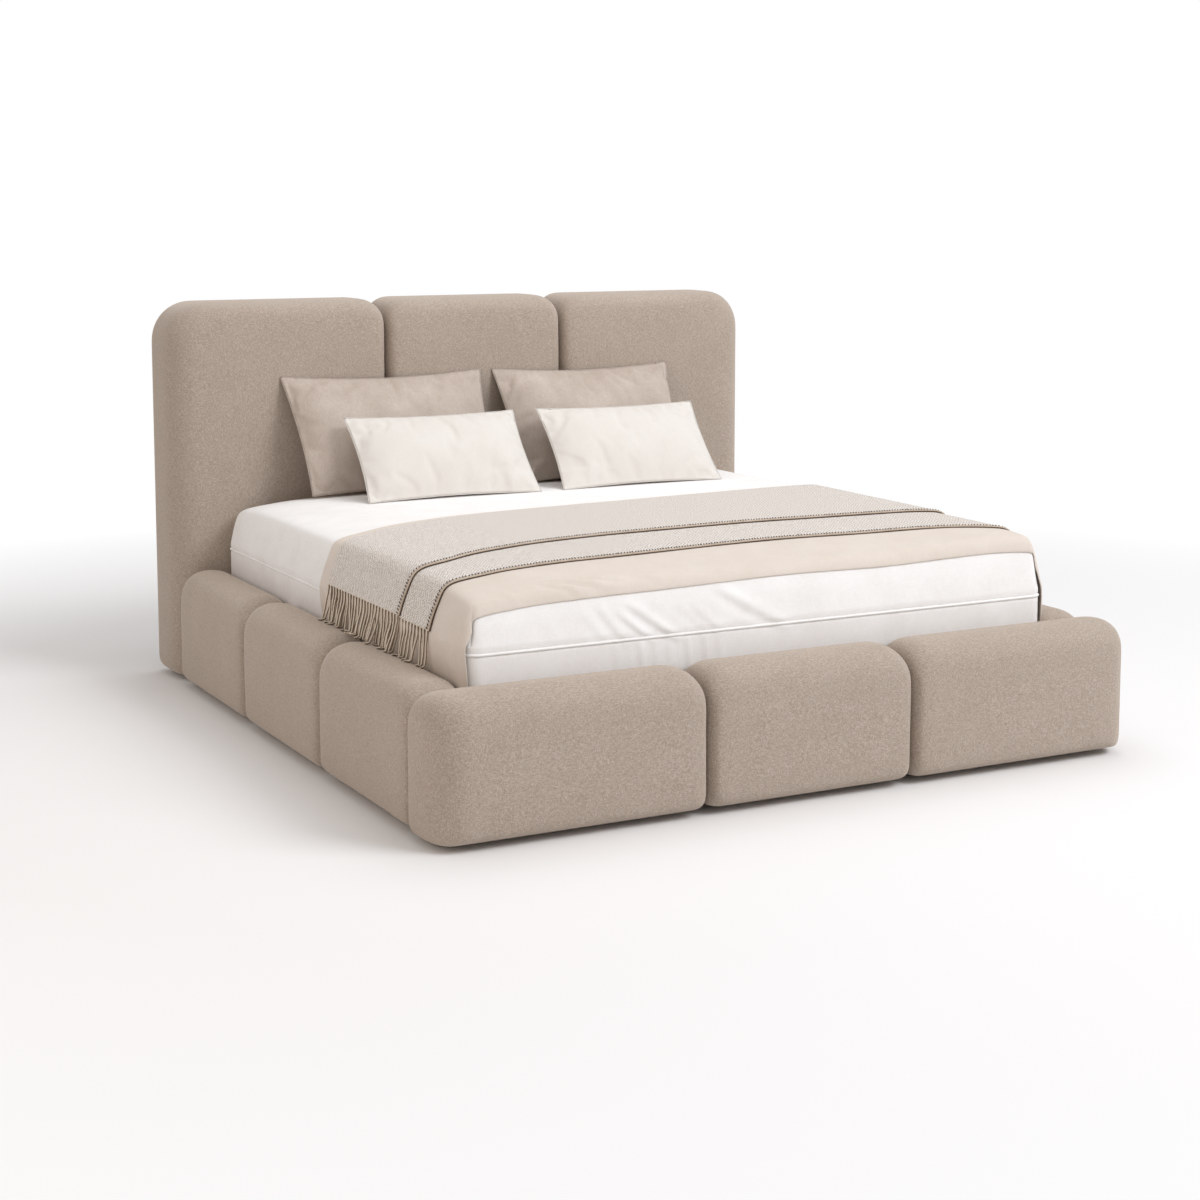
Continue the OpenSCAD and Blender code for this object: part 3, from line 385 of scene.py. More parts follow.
MATERIALS = {
    "upholstery": upholstery(),
    # thin black felted lining, dull, with a fine random web
    "lining": cloth("Spun-bonded lining, black", ("#26262A", "#2E2E32", "#38383C"), 2.2 * MM, 0.95, 0.05),
    # pale sheet wood with long quiet figure
    "panel": timber("Birch plywood panel", ("#B8936A", "#C9A67C", "#D8BA93"), "x"),
    # yellowish softwood with darker growth rings along the boards, and the same on boards laid across
    "timber": timber("Pine, sawn and planed", ("#B98D5C", "#D0A877", "#E0C093"), "y"),
    "timber_x": timber("Pine, grain across", ("#B98D5C", "#D0A877", "#E0C093"), "x"),
    # warm brown turned wood, a little smoother than the boards
    "leg_wood": timber("Beech, stained", ("#6E4A2E", "#86603F", "#9B7350"), "z", 0.45),
    # satin black skin with a fine orange peel
    "bracket_steel": hard("Powder-coated steel, black", ("#1B1B1D", "#232326"), 0.42, 0.0, 0.12),
    # bright grey metal with a faint bloom
    "zinc_steel": hard("Zinc-plated steel", ("#A9ADB0", "#C6C8C9"), 0.32),
    # dark drawn wire with an oily gleam
    "spring_steel": hard("Spring steel wire, oiled", ("#5C5E60", "#7B7D7F"), 0.36),
    # milky plastic with soft highlights, and dull black plastic under the feet
    "clip_plastic": hard("Moulded nylon, natural", ("#DAD8CF", "#E6E4DC"), 0.45, 0.0),
    "glide_plastic": hard("Moulded polyethylene, black", ("#18181A", "#222225"), 0.5, 0.0),
    # matted grey fibres, quite without shine
    "felt": cloth("Needled felt, grey", ("#4E4B48", "#5C5956", "#6B6865"), 2.5 * MM, 0.97, 0.2, relief=0.8),
    # pale yellow open cells
    "foam": cloth("Polyurethane foam", ("#E0D6AE", "#EAE1BE", "#F2EBCF"), 2.0 * MM, 0.95, 0.1, relief=0.5),
    # raw off-white tight weave
    "ticking": cloth("Cotton ticking, unbleached", ("#D2CDC3", "#DDD9D0", "#E6E3DB"), 2.2 * MM, 0.88),
    # smooth white knit that shows only its folds, and the slightly brighter cord round it
    "mattress_fabric": cloth("Cotton jersey, white", ("#EAE6E3", "#F0EDEB", "#F5F3F1"), 2.0 * MM, 0.85, 0.15,
                             relief=0.15),
    "piping_fabric": cloth("Piping cord, white cotton", ("#EEEBE8", "#F4F2F0", "#F9F8F7"), 1.6 * MM, 0.8),
    # sand-coloured cloth with a faint silky sheen
    "coverlet_cotton": cloth("Cotton sateen, sand", ("#D0C3B7", "#D5C9BE", "#DACFC5"), 1.8 * MM, 0.62, 0.25,
                             "#FFF8F0", 0.12),
    "throw_wool": herringbone(),
    # the throw's rolled edge, a little browner than its field, and the dark yarn that is sewn over it; the
    # same dark yarn makes the cord under the hem that is painted shadow
    "hem_wool": cloth("Wool hem, rolled", ("#AE9C8A", "#C0AF9E", "#D0C2B3"), 2.4 * MM, 0.93, 0.3,
                      "#EFE4D6", 0.7),
    "edge_yarn": cloth("Wool yarn, plied, brown", ("#3F342A", "#4E4135", "#625344"), 2.0 * MM, 0.93, 0.2,
                       "#D8C8B4", 0.6),
    # plied wool ends with painted light on their tops and painted shade on their flanks
    "fringe_yarn": yarn_painted_by_facing(),
    # grey-brown matt weave
    "pillow_linen": cloth("Linen-cotton, taupe", ("#AA9B8F", "#B8AA9F", "#C6BAB0"), 2.0 * MM, 0.85, 0.25,
                          "#F0E6DA", 0.25),
    # ivory weave brushed soft
    "cushion_cotton": cloth("Brushed cotton, ivory", ("#D7D0C9", "#DAD4CD", "#DDD8D2"), 2.0 * MM, 0.85, 0.2,
                            relief=0.2),
}

# ---------------------------------------------------------------- camera, light and floor
CAM_AT = Vector((-3.0240, -5.7294, 1.5563))
CAM_YAW, CAM_PITCH = 0.4832, 0.1187             # turned right of +Y, and down, in radians
FOCAL, PICTURE, SENSOR = 2144.2, 1200, 36.0     # focal length and picture width in pixels, sensor in mm
cam = bpy.data.cameras.new("Camera")
cam.sensor_width, cam.lens, cam.shift_y = SENSOR, FOCAL / PICTURE * SENSOR, -0.12
cam_ob = add_object("Camera", cam)
look = Vector((math.sin(CAM_YAW) * math.cos(CAM_PITCH), math.cos(CAM_YAW) * math.cos(CAM_PITCH),
               -math.sin(CAM_PITCH)))
cam_ob.location = CAM_AT
cam_ob.rotation_euler = look.to_track_quat("-Z", "Y").to_euler()
scene.camera = cam_ob
scene.view_settings.view_transform = "Standard"


def lamp(name, at, to, size, power, colour):
    """soft box of that width and height in metres and that power in watts, turned towards a point"""
    data = bpy.data.lights.new(name, "AREA")
    data.shape, data.size, data.size_y = "RECTANGLE", size[0], size[1]
    data.energy, data.color = power, srgb(colour)[:3]
    ob = add_object(name, data)
    ob.location = at
    ob.rotation_euler = (Vector(to) - Vector(at)).to_track_quat("-Z", "Y").to_euler()


lamp("key_softbox", (5.1, -6.7, 7.2), (0.0, -0.1, 0.4), (5.2, 4.2), 664, "#F6FAFF")
lamp("top_softbox", (0.4, 0.6, 4.4), (0.0, 0.0, 0.3), (4.0, 4.0), 66, "#F8FBFF")
lamp("left_fill", (-5.0, -1.5, 2.2), (0.0, 0.0, 0.4), (3.0, 2.4), 33, "#FFEBDA")

# the sky is white where the camera looks at it, and lights the bed more softly
world = bpy.data.worlds.new("Studio")
scene.world = world
world.use_nodes = True
sky = world.node_tree
sky.nodes.clear()
rays = node(sky, "LightPath").node.outputs
seen = node(sky, "Math", rays["Is Camera Ray"], rays["Is Glossy Ray"], operation="MAXIMUM")
seen = node(sky, "Math", seen, rays["Is Transmission Ray"], operation="MAXIMUM")
dim = node(sky, "Background", Color=srgb("#F7F5F3"), Strength=0.58)
bright = node(sky, "Background", Color=(1, 1, 1, 1), Strength=1.0)
node(sky, "OutputWorld", node(sky, "MixShader", seen, dim, bright))

# the floor runs out into white away from the bed
bm = bmesh.new()
bmesh.ops.create_circle(bm, cap_ends=True, cap_tris=True, segments=64, radius=14)
floor = finish_mesh("floor", bm)
floor_mat, ground = new_material("Matt white studio floor")
away = node(ground, "VectorMath", node(ground, "TexCoord").node.outputs["Object"], operation="LENGTH")
fade = node(ground, "MapRange", away.node.outputs["Value"], From_Min=2.2, From_Max=4.2)
rays = node(ground, "LightPath").node.outputs
seen = node(ground, "Math", rays["Is Camera Ray"], rays["Is Glossy Ray"], operation="MAXIMUM")
matt = node(ground, "BsdfPrincipled", Base_Color=srgb("#EFEDEC"), Roughness=0.9, Specular_IOR_Level=0.1)
glow = node(ground, "Emission", Color=(1, 1, 1, 1), Strength=1.0)
share = node(ground, "Math", fade, seen, operation="MULTIPLY")
node(ground, "OutputMaterial", node(ground, "MixShader", share, matt, glow))
floor.data.materials.append(floor_mat)

# ---------------------------------------------------------------- upholstered pads
# sections from the back to the face: part of the thickness, then the draw-in at a seam, at the top,
# at the bottom and at a corner of the bed, in millimetres
RAIL_SECTIONS = [(0, 12, 38, 0, 12), (0.035, 5, 25, 0, 5), (0.10, 1, 13, 0, 1), (0.24, 0, 4, 0, 0),
                 (0.48, 0, 0, 0, 3), (0.68, 1, 6, 2, 13), (0.83, 4, 20, 7, 31), (0.94, 14, 42, 18, 58),
                 (0.985, 29, 68, 34, 84), (1, 58, 104, 64, 122)]
HEAD_SECTIONS = [(0, 26, 26, 20, 26), (0.04, 14, 14, 10, 14), (0.12, 4, 4, 3, 4), (0.22, 0, 0, 0, 0),
                 (0.60, 0, 0, 0, 3), (0.78, 1, 4, 2, 15), (0.90, 7, 14, 9, 37), (0.962, 18, 31, 21, 60),
                 (0.99, 36, 54, 40, 84), (1, 68, 92, 74, 122)]
# corner radii in the order lower left, lower right, upper right, upper left, seen from the face
RAIL_RADII = [r * MM for r in (34, 34, 70, 70)]
HEAD_RADII = [[r * MM for r in pad] for pad in ((34, 42, 128, 76), (34, 34, 76, 76), (42, 34, 76, 128))]
TIGHTER, DRAWN_MOST, LEAST_R = 0.45, 0.09, 0.014    # a drawn-in outline has rounder corners: share, limits
SECTION_RINGS = 3                       # rings of the mesh from section to section
FACE_CROWN = 2.0 * MM                   # how far the middle of a face stands out
CELL_U, CELL_W = 0.019, 0.021           # cells of a face, along and up
CROWDING = 1.18                         # draws the cells closer together towards the edges
UNEVEN = 1.5 * MM


def between(table, s):
    """the section at s, counted in rows of the table, on a smooth curve through the rows"""
    k = min(int(s), len(table) - 2)
    f = s - k
    p = [table[min(max(k + d, 0), len(table) - 1)] for d in (-1, 0, 1, 2)]
    row = []
    for a, b, c, d in zip(*p):
        ta, tb = (c - a) / 2, (d - b) / 2
        if (c - b) * (b - a) <= 0:
            ta = 0
        if (d - c) * (c - b) <= 0:
            tb = 0
        row.append(b + ta * f + (3 * (c - b) - 2 * ta - tb) * f * f + (2 * (b - c) + ta + tb) * f ** 3)
    return row


def draw_in(row, free):
    """what a section is drawn in at its left and right end, its top and its bottom, in metres"""
    return row[4 if free[0] else 1] * MM, row[4 if free[1] else 1] * MM, row[2] * MM, row[3] * MM


def outline_point(a, b, row, length, z0, z1, radii, free):
    """where a point on the border of the square -1..1 lies on the rounded outline of a section"""
    left, right, top, bottom = draw_in(row, free)
    u0, u1, w0, w1 = left, length - right, z0 + bottom, z1 - top
    u, w = u0 + (u1 - u0) * (a + 1) / 2, w0 + (w1 - w0) * (b + 1) / 2
    k = (0 if a < 0 else 1) if b < 0 else (3 if a < 0 else 2)
    ru = max(radii[k] - TIGHTER * min(left if a < 0 else right, DRAWN_MOST), LEAST_R)
    rw = max(radii[k] - TIGHTER * min(bottom if b < 0 else top, DRAWN_MOST), LEAST_R)
    cu, cw = min(max(u, u0 + ru), u1 - ru), min(max(w, w0 + rw), w1 - rw)
    du, dw = (u - cu) / ru, (w - cw) / rw
    n = math.hypot(du, dw) or 1.0
    return cu + ru * du / n, cw + rw * dw / n


def puffed_pad(name, length, thick, z1, radii, table, free, place, pockets, seed):
    """one upholstered pad: puffed face, rounded edges, pockets behind for the timber; free says whether its
    left and its right end are corners of the bed"""
    last = table[-1]
    left, right, top, bottom = draw_in(last, free)
    middle = Vector(((left + length - right) / 2, (FLOOR_GAP + bottom + z1 - top) / 2))

    def crowded(x):
        return math.copysign(1 - (1 - abs(x)) ** CROWDING, x)

    def outline(a, b, row):
        return Vector(outline_point(a, b, row, length, FLOOR_GAP, z1, radii, free))

    def face(a, b):
        a, b = crowded(a), crowded(b)
        ring = max(abs(a), abs(b))
        p = middle.lerp(outline(a / ring, b / ring, last), ring) if ring > NUDGE else middle
        return Vector((p.x, thick - FACE_CROWN * ring * ring, p.y))

    def ring_at(k, a, b):
        row = between(table, len(table) - 1 - (k + 1) / SECTION_RINGS)
        p = outline(crowded(a), crowded(b), row)
        return Vector((p.x, row[0] * (thick - FACE_CROWN), p.y))

    cells = max(int(length / CELL_U), 24), max(int((z1 - FLOOR_GAP) / CELL_W), 16)
    bm = subdivided(name, shell(*cells, face, (len(table) - 1) * SECTION_RINGS, ring_at))
    bm.normal_update()
    # the filling is never quite even: slow waves of about a millimetre over the puffed face
    for v in bm.verts:
        amount = smooth((v.co.y / thick - 0.80) / 0.15)
        if amount:
            n = noise.noise(v.co * 5.0 + Vector((seed * 7.3, seed * 1.7, 0)))
            n += 0.5 * noise.noise(v.co * 13.0 + Vector((0, seed * 3.1, seed)))
            v.co += v.normal * (n - 0.7) * UNEVEN * amount
    bmesh.ops.transform(bm, matrix=place, verts=bm.verts)
    bmesh.ops.recalc_face_normals(bm, faces=bm.faces)
    ob = finish_mesh(name, bm, 180)
    cut_boxes(ob, pockets)
    bm = bmesh.new()
    bm.from_mesh(ob.data)
    bpy.data.objects.remove(ob)
    ob = finish_mesh(name, bm, 48)
    dress(ob, "upholstery", "bed_frame", name)


def turned(degrees, at):
    return Matrix.Translation(at) @ Matrix.Rotation(math.radians(degrees), 4, "Z")


PLAY = 0.0003           # room between a board and its pocket
OPEN = 0.001            # how far a pocket is cut past the back of its pad
PAST = 0.05             # how far the pockets of the side boards run past their ends
POCKET_X, POCKET_TOP = BOARD_OUT + PLAY, BOARD_TOP + PLAY
LEFT_POCKET = ((-POCKET_X, FOOT_IN - PAST, 0), (-SIDE_IN + OPEN, HEAD_Y + PAST, POCKET_TOP))
RIGHT_POCKET = ((SIDE_IN - OPEN, FOOT_IN - PAST, 0), (POCKET_X, HEAD_Y + PAST, POCKET_TOP))
FOOT_POCKET = ((-POCKET_X, FOOT_IN - BOARD_T - PLAY, 0), (POCKET_X, FOOT_IN + OPEN, POCKET_TOP))
HEAD_POCKET = ((-POCKET_X, HEAD_Y - OPEN - PLAY, 0), (POCKET_X, HEAD_Y + BOARD_T + PLAY, POCKET_TOP))
PANEL_IN, PANEL_T, PANEL_DOWN, PANEL_CUT = 0.045, 0.040, 0.084, 0.080   # its edges, thickness and cut corners
PANEL_X = HALF_W - PANEL_IN + PLAY
PANEL_POCKET = ((-PANEL_X, BACK_Y - COVER_T - PANEL_T - PLAY, FLOOR_GAP + PANEL_IN - PLAY),
                (PANEL_X, BACK_Y + OPEN, HEAD_H - PANEL_DOWN + PLAY), PANEL_CUT)
BLOCK_X, BLOCK_HALF = 0.6, 0.060 + PLAY                                 # mounting blocks: middle, half width
BLOCK_Z0, BLOCK_Z1 = FLOOR_GAP + 0.053 - PLAY, FLOOR_GAP + 0.203 + PLAY
BLOCK_POCKETS = [((x - BLOCK_HALF, HEAD_Y, BLOCK_Z0), (x + BLOCK_HALF, BACK_Y, BLOCK_Z1))
                 for x in (-BLOCK_X, BLOCK_X)]


def pad_row(word, seam, thick, top, radii, table, back, pockets, seed):
    """three pads side by side across the bed, the outer two round its corners"""
    pads = (("left", -HALF_W - PAD_GAP / 2, -seam, (False, True)), ("middle", -seam, seam, (False, False)),
            ("right", seam, HALF_W + PAD_GAP / 2, (True, False)))
    for k, (part, x0, x1, free) in enumerate(pads):
        puffed_pad(f"{word}_{part}", x1 - x0 - PAD_GAP, thick, top, radii[k], table, free,
                   turned(180, (x1 - PAD_GAP / 2, back, 0)), pockets, seed + k)


side_len = (HEAD_Y - FOOT_IN) / 3
pad_len = side_len - PAD_GAP
for first, side, pocket in ((1, "left", LEFT_POCKET), (4, "right", RIGHT_POCKET)):
    for k, part in enumerate(("foot", "middle", "head")):
        y0 = FOOT_IN + k * side_len + PAD_GAP / 2
        place = turned(90, (-SIDE_IN, y0, 0)) if side == "left" else turned(-90, (SIDE_IN, y0 + pad_len, 0))
        puffed_pad(f"side_pad_{side}_{part}", pad_len, SIDE_T, RAIL_H, RAIL_RADII, RAIL_SECTIONS,
                   (False, False), place, [pocket], first + k)
pad_row("foot_pad", SEAM_X, FOOT_T, RAIL_H, [RAIL_RADII] * 3, RAIL_SECTIONS, FOOT_IN, [FOOT_POCKET], 7)
pad_row("headboard_pad", HEAD_SEAM_X, HEAD_T, HEAD_H, HEAD_RADII, HEAD_SECTIONS, BACK_Y - COVER_T,
        [HEAD_POCKET, PANEL_POCKET] + BLOCK_POCKETS, 10)

# ---------------------------------------------------------------- mattress
# rows of the mesh by their way in from the edge, close together on the shoulder
EDGE_STEPS = [k * MM for k in (0, 0.8, 1.8, 3, 4.6, 6.5, 8.7, 11, 13.5, 16.5, 20, 24, 28, 33, 40, 50, 66, 90,
                               120)]
SHOULDER, EDGE_CELLS = EDGE_STEPS[-1], len(EDGE_STEPS) - 1
NX, NY = 132, 96
# share of the rise over the way in from the edge, in millimetres: a side that leans in, a soft rim, a slow
# dome
ROLL = [(0, 0), (4, 0.1415), (12, 0.4465), (26, 0.7296), (34, 0.786), (50, 0.833), (77, 0.871), (118, 0.906),
        (200, 0.962), (300, 0.987), (400, 1)]
FULL_ROLL = [(0, 0), (4, 0.18), (12, 0.56), (22, 0.83), (34, 0.93), (50, 0.968), (77, 0.985), (118, 0.993),
             (200, 0.998), (300, 1)]
FULL_X, FULL_BLEND = 0.3, 0.5           # the fuller rim sets in this far right of the middle, over this way


def station(x, n, half):
    """grid place x (-1..1, n cells) to its side of the middle and its way in from that edge in metres"""
    i = round((x + 1) / 2 * n)
    j = min(i, n - i)
    if j <= EDGE_CELLS:
        return sign(i - n / 2), EDGE_STEPS[j]
    return sign(i - n / 2), SHOULDER + (half - SHOULDER) * (j - EDGE_CELLS) / (n / 2 - EDGE_CELLS)


def in_middle(x, n):
    return round((x + 1) / 2 * n) * 2 == n


def plan_point(ex, ey, sx, sy):
    """plan place of a point that far in from the sides; square corners are drawn onto the radius"""
    a, b = MAT_R - ex, MAT_R - ey
    k = max(a, b) / math.hypot(a, b) if a > 0 and b > 0 else 1.0
    return sx * (MAT_W - MAT_R + a * k), (MAT_Y0 + MAT_R - b * k) if sy < 0 else (MAT_Y1 - MAT_R + b * k)


def way_out(ex, ey, sx, sy):
    """level way out of the mattress's side"""
    a, b = MAT_R - ex, MAT_R - ey
    if a > 0 and b > 0:
        return Vector((sx * a, sy * b, 0)).normalized()
    return Vector((sx, 0, 0)) if ex <= ey else Vector((0, sy, 0))


def roll(e, rise=ROLL):
    """rise of the top over the way in from the edge"""
    return flowing(e / MM, rise)


def top_z(ex, ey, side=-1):
    """height of the top that far in from a side and an end; the right side keeps a fuller rim"""
    if side < 0:
        return EDGE_Z + CROWN * roll(ex) * roll(ey)
    full = smooth((MAT_W - ex - FULL_X) / FULL_BLEND)
    return EDGE_Z + CROWN * roll(ex, FULL_ROLL) * (roll(ey) + (roll(ey, FULL_ROLL) - roll(ey)) * full)


# tension folds of the fitted cover: start along the side and up, end, width and height, in millimetres
FOLDS = [(-522, 522, -457, 436, 12, 2.9), (-466, 503, -388, 438, 9, 3.8), (-432, 522, -308, 434, 12, 5.0),
         (-290, 510, -215, 444, 11, 1.3), (-249, 506, -172, 440, 13, 2.0), (-160, 540, 12, 443, 15, 4.8),
         (-62, 508, 20, 455, 13, 1.3), (-572, 515, -512, 440, 14, 1.4), (-484, 430, -478, 350, 10, 1.3),
         (-415, 432, -406, 348, 9, 2.8), (-372, 430, -364, 352, 8, 1.6), (-330, 430, -320, 355, 9, 1.3),
         (-275, 431, -266, 348, 8, 2.6), (-224, 431, -214, 350, 7, 2.4), (-180, 430, -172, 355, 8, 1.3),
         (380, 550, 300, 455, 20, 1.0), (540, 555, 470, 455, 24, 0.9), (-700, 550, -650, 450, 22, 0.9),
         (700, 430, 690, 350, 22, 0.8), (420, 428, 424, 350, 20, 0.7)]
HEAD_FOLDS = [(-40, 540, 40, 450, 22, 1.0), (300, 545, 380, 455, 24, 1.1), (520, 540, 600, 455, 22, 0.9),
              (760, 540, 800, 455, 20, 0.9), (240, 428, 244, 350, 20, 0.8), (620, 428, 612, 350, 20, 0.8)]
# heights of the rings below the rim, in millimetres, close together at the piping
SIDE_RINGS = [452, 448, 444, 441, 437, 433, 430, 426, 419, 409, 397, 384, 371, 358, 347, 338, 332, 328.5,
              325.5]
SIDE_NEAR = 0.05        # this near the outline counts as on the side
PIPE_R, PIPE_OUT = 3.8 * MM, 3.0 * MM
NIP, NIP_H, TUCK, TUCK_H = 3.5 * MM, 5 * MM, 16 * MM, 0.02      # the side drawn in at the piping and below
FADE, FADE_RUN = 0.25, 0.4              # a fold dies away past its ends, as a share of its length
GROOVE, GROOVE_AT = 0.55, 1.35          # its depth by the ridge's height, its place by the ridge's width


def fold_height(x, z, folds):
    """outward push of the folds at a point of a side, in metres: a ridge with a groove along it"""
    out = 0.0
    for x0, z0, x1, z1, w, h in folds:
        dx, dz = (x1 - x0) * MM, (z1 - z0) * MM
        length = math.hypot(dx, dz)
        px, pz = x - x0 * MM, z - z0 * MM
        along = (px * dx + pz * dz) / length ** 2
        across = (px * dz - pz * dx) / length / (w * MM)
        if -FADE < along < 1 + FADE and abs(across) < 3:
            ends = smooth((along + FADE) / FADE_RUN) * smooth((1 + FADE - along) / FADE_RUN)
            ridge = math.exp(-across * across) - GROOVE * math.exp(-(across - GROOVE_AT) ** 2)
            out += h * MM * ends * ridge
    return out


def side_push(z):
    """how far the side stands out at a height: a nip at the piping, tucked in below"""
    nip = NIP * math.exp(-((z - PIPE_Z) / NIP_H) ** 2)
    return -nip - TUCK * max(0, (MAT_Z + TUCK_H - z) / TUCK_H) ** 2


def mattress_side(a, b, z, proud=0.0):
    """point of the mattress's side at a height, for a place on the border of the square -1..1"""
    (sx, ex), (sy, ey) = station(a, NX, MAT_W), station(b, NY, MAT_HALF)
    x, y = plan_point(ex, ey, sx, sy)
    return Vector((0.0 if in_middle(a, NX) else x, y, z)) + way_out(ex, ey, sx, sy) * (side_push(z) + proud)


def mattress_top(a, b):
    (sx, ex), (sy, ey) = station(a, NX, MAT_W), station(b, NY, MAT_HALF)
    x, y = plan_point(ex, ey, sx, sy)
    x, y = 0.0 if in_middle(a, NX) else x, MAT_MID if in_middle(b, NY) else y
    wave = 0.6 * MM * noise.noise(Vector((x * 6, y * 6, 0.3))) * roll(ex) * roll(ey)
    return Vector((x, y, top_z(ex, ey, sx) + wave))


bm = subdivided("mattress_cover", shell(NX, NY, mattress_top, len(SIDE_RINGS),
                                        lambda k, a, b: mattress_side(a, b, SIDE_RINGS[k] * MM)))
for v in bm.verts:
    x, y, z = v.co
    # the folds die away at the piping and on the rim
    calm = (1 - math.exp(-((z - PIPE_Z) / (7 * MM)) ** 2)) * smooth((0.590 - z) / 0.020)
    if y < MAT_Y0 + SIDE_NEAR:
        v.co.y -= fold_height(x, z, FOLDS) * calm * smooth((MAT_W - abs(x)) / 0.06)
    elif abs(x) > MAT_W - SIDE_NEAR and y > 0.1:
        v.co.x += math.copysign(fold_height(y, z, HEAD_FOLDS), x) * calm
mattress = finish_mesh("mattress_cover", bm, 60)
dress(mattress, "mattress_fabric", "mattress", "mattress_cover")


def cords(name, lines, radius, closed=False, roundness=2):
    """round cords along lines of (point, share of the radius), joined in one mesh"""
    curve = bpy.data.curves.new(name, "CURVE")
    curve.dimensions = "3D"
    for line in lines:
        run = curve.splines.new("POLY")
        run.points.add(len(line) - 1)
        for p, (q, r) in zip(run.points, line):
            p.co, p.radius = (*q, 1), r
        run.use_cyclic_u = closed
    curve.bevel_depth, curve.bevel_resolution = radius, roundness
    curve.use_fill_caps = not closed
    ob = add_object(name, curve)
    graph = bpy.context.evaluated_depsgraph_get()
    mesh = bpy.data.meshes.new_from_object(ob.evaluated_get(graph))
    bpy.data.objects.remove(ob)
    bm = bmesh.new()
    bm.from_mesh(mesh)
    bmesh.ops.remove_doubles(bm, verts=bm.verts, dist=NUDGE)
    bmesh.ops.recalc_face_normals(bm, faces=bm.faces)
    return finish_mesh(name, bm, 75)


def square_border(nx, ny):
    """places round the border of the square -1..1, from its lower left corner"""
    return [(k / nx * 2 - 1, -1) for k in range(nx)] + [(1, k / ny * 2 - 1) for k in range(ny)] \
        + [(1 - k / nx * 2, 1) for k in range(nx)] + [(-1, 1 - k / ny * 2) for k in range(ny)]


path = [(mattress_side(a, b, PIPE_Z, PIPE_OUT), 1) for a, b in square_border(NX, NY)]
piping = cords("mattress_piping", [path], PIPE_R, True)
dress(piping, "piping_fabric", "mattress", "mattress_piping")

# ---------------------------------------------------------------- bedding laid over the mattress
COVER_HEM_Z, THROW_HEM_Z = 0.345, 0.463
# where the cloths end along the bed, as (x, y): coverlet and throw askew, as they were thrown over it
COVER_HEAD = [(-0.95, 0.022), (-0.85, 0.005), (-0.77, 0.026), (-0.62, 0.066), (-0.41, 0.118), (-0.10, 0.150),
              (0.45, 0.194), (0.92, 0.235)]
THROW_HEAD = [(x, y - 0.098) for x, y in COVER_HEAD]
FOLD_EDGE = [(-0.95, -0.588), (-0.87, -0.612), (-0.78, -0.600), (-0.62, -0.554), (-0.49, -0.522),
             (-0.30, -0.488), (-0.05, -0.475), (0.25, -0.466), (0.46, -0.486), (0.66, -0.500), (0.80, -0.507),
             (0.86, -0.527), (0.92, -0.550)]
THROW_FOOT = [(-0.92, -0.786), (-0.72, -0.787), (-0.60, -0.774), (-0.36, -0.761), (-0.07, -0.733),
              (0.12, -0.721), (0.25, -0.722), (0.43, -0.744), (0.57, -0.753), (0.70, -0.770), (0.78, -0.800),
              (0.84, -0.840), (0.92, -0.870)]
# the coverlet's foot hem, in millimetres in from the foot of the mattress
FOOT_HEM = [(-0.90, 16.5), (-0.62, 18), (-0.35, 19), (0.05, 22), (0.41, 20), (0.58, 18), (0.86, 15.5)]
# how far the hanging sides stand off the mattress at a height, in millimetres, and at the foot corners
HANG = [(0.345, 2), (0.38, 10), (0.42, 16), (0.455, 18), (0.48, 16), (0.51, 11), (0.54, 5), (0.575, 1)]
FOOT_HANG = [(0.345, 5.5), (0.38, 7.4), (0.43, 7.6), (0.47, 5.5), (0.51, 3), (0.54, 1), (0.575, 0)]
HANG_X, HANG_BLEND = 0.80, 0.07         # a cloth begins to stand off this far out, and does fully after that
CLEAR = 0.3             # far enough in from an end to be clear of its corners


def hang(p, table):
    """how far a hanging side stands off at a point; nothing on top of the bed"""
    return flowing(p.z, table) * MM * smooth((abs(p.x) - HANG_X) / HANG_BLEND)


def across_stations(hem, side_cells, top_cells):
    """stations of a cloth from the left hem over the top to the right hem: (side, way in, height), where the
    height is none on top"""
    left = [(-1, 0.0, hem + (EDGE_Z - hem) * k / side_cells) for k in range(side_cells)]
    left += [(-1, e, None) for e in EDGE_STEPS if top_z(e, MAT_W) > hem]
    left += [(-1, SHOULDER + (MAT_W - SHOULDER) * k / top_cells, None) for k in range(1, top_cells)]
    return left + [(0, MAT_W, None)] + [(1, e, z) for _, e, z in reversed(left)]


def on_bed(st, ey, y=None):
    """point of the mattress's skin at a station, ey in from the foot edge, or at y"""
    side, ex, z = st
    if y is not None:
        ey = min(y - MAT_Y0, MAT_W)
    px, py = plan_point(ex, ey, side or 1, -1)
    if side == 0:
        px = 0.0
    if y is not None and ey > MAT_R:
        py = y
    return Vector((px, py, top_z(ex, ey, side or -1) if z is None else z))


def lay(stations, rows, point):
    """cloth as a grid of stations by rows, on points that a function gives"""
    bm = bmesh.new()
    n, m = len(stations) - 1, rows - 1
    bmesh.ops.create_grid(bm, x_segments=n, y_segments=m, size=1)
    grid = {(round((v.co.x + 1) / 2 * n), round((v.co.y + 1) / 2 * m)): v for v in bm.verts}
    for (i, j), v in grid.items():
        v.co = point(i, j)
    bm.normal_update()
    return bm, grid


COVER_STATIONS = across_stations(COVER_HEM_Z, 10, 54)
# rows of the coverlet: a band along the foot hem with rows at these shares of it, then even rows
FOOT_BAND, FOOT_ROWS = 0.105, [0, 0.03, 0.075, 0.14, 0.22, 0.33, 0.46, 0.61, 0.80, 1.0]
COVER_ROWS, COVERLET_T = 44, 3.0 * MM
HEM_LOW, HEM_TOP, HEM_BEND_Z = 5 * MM, 12 * MM, 0.37    # way in of the foot hem at the sides, low and high


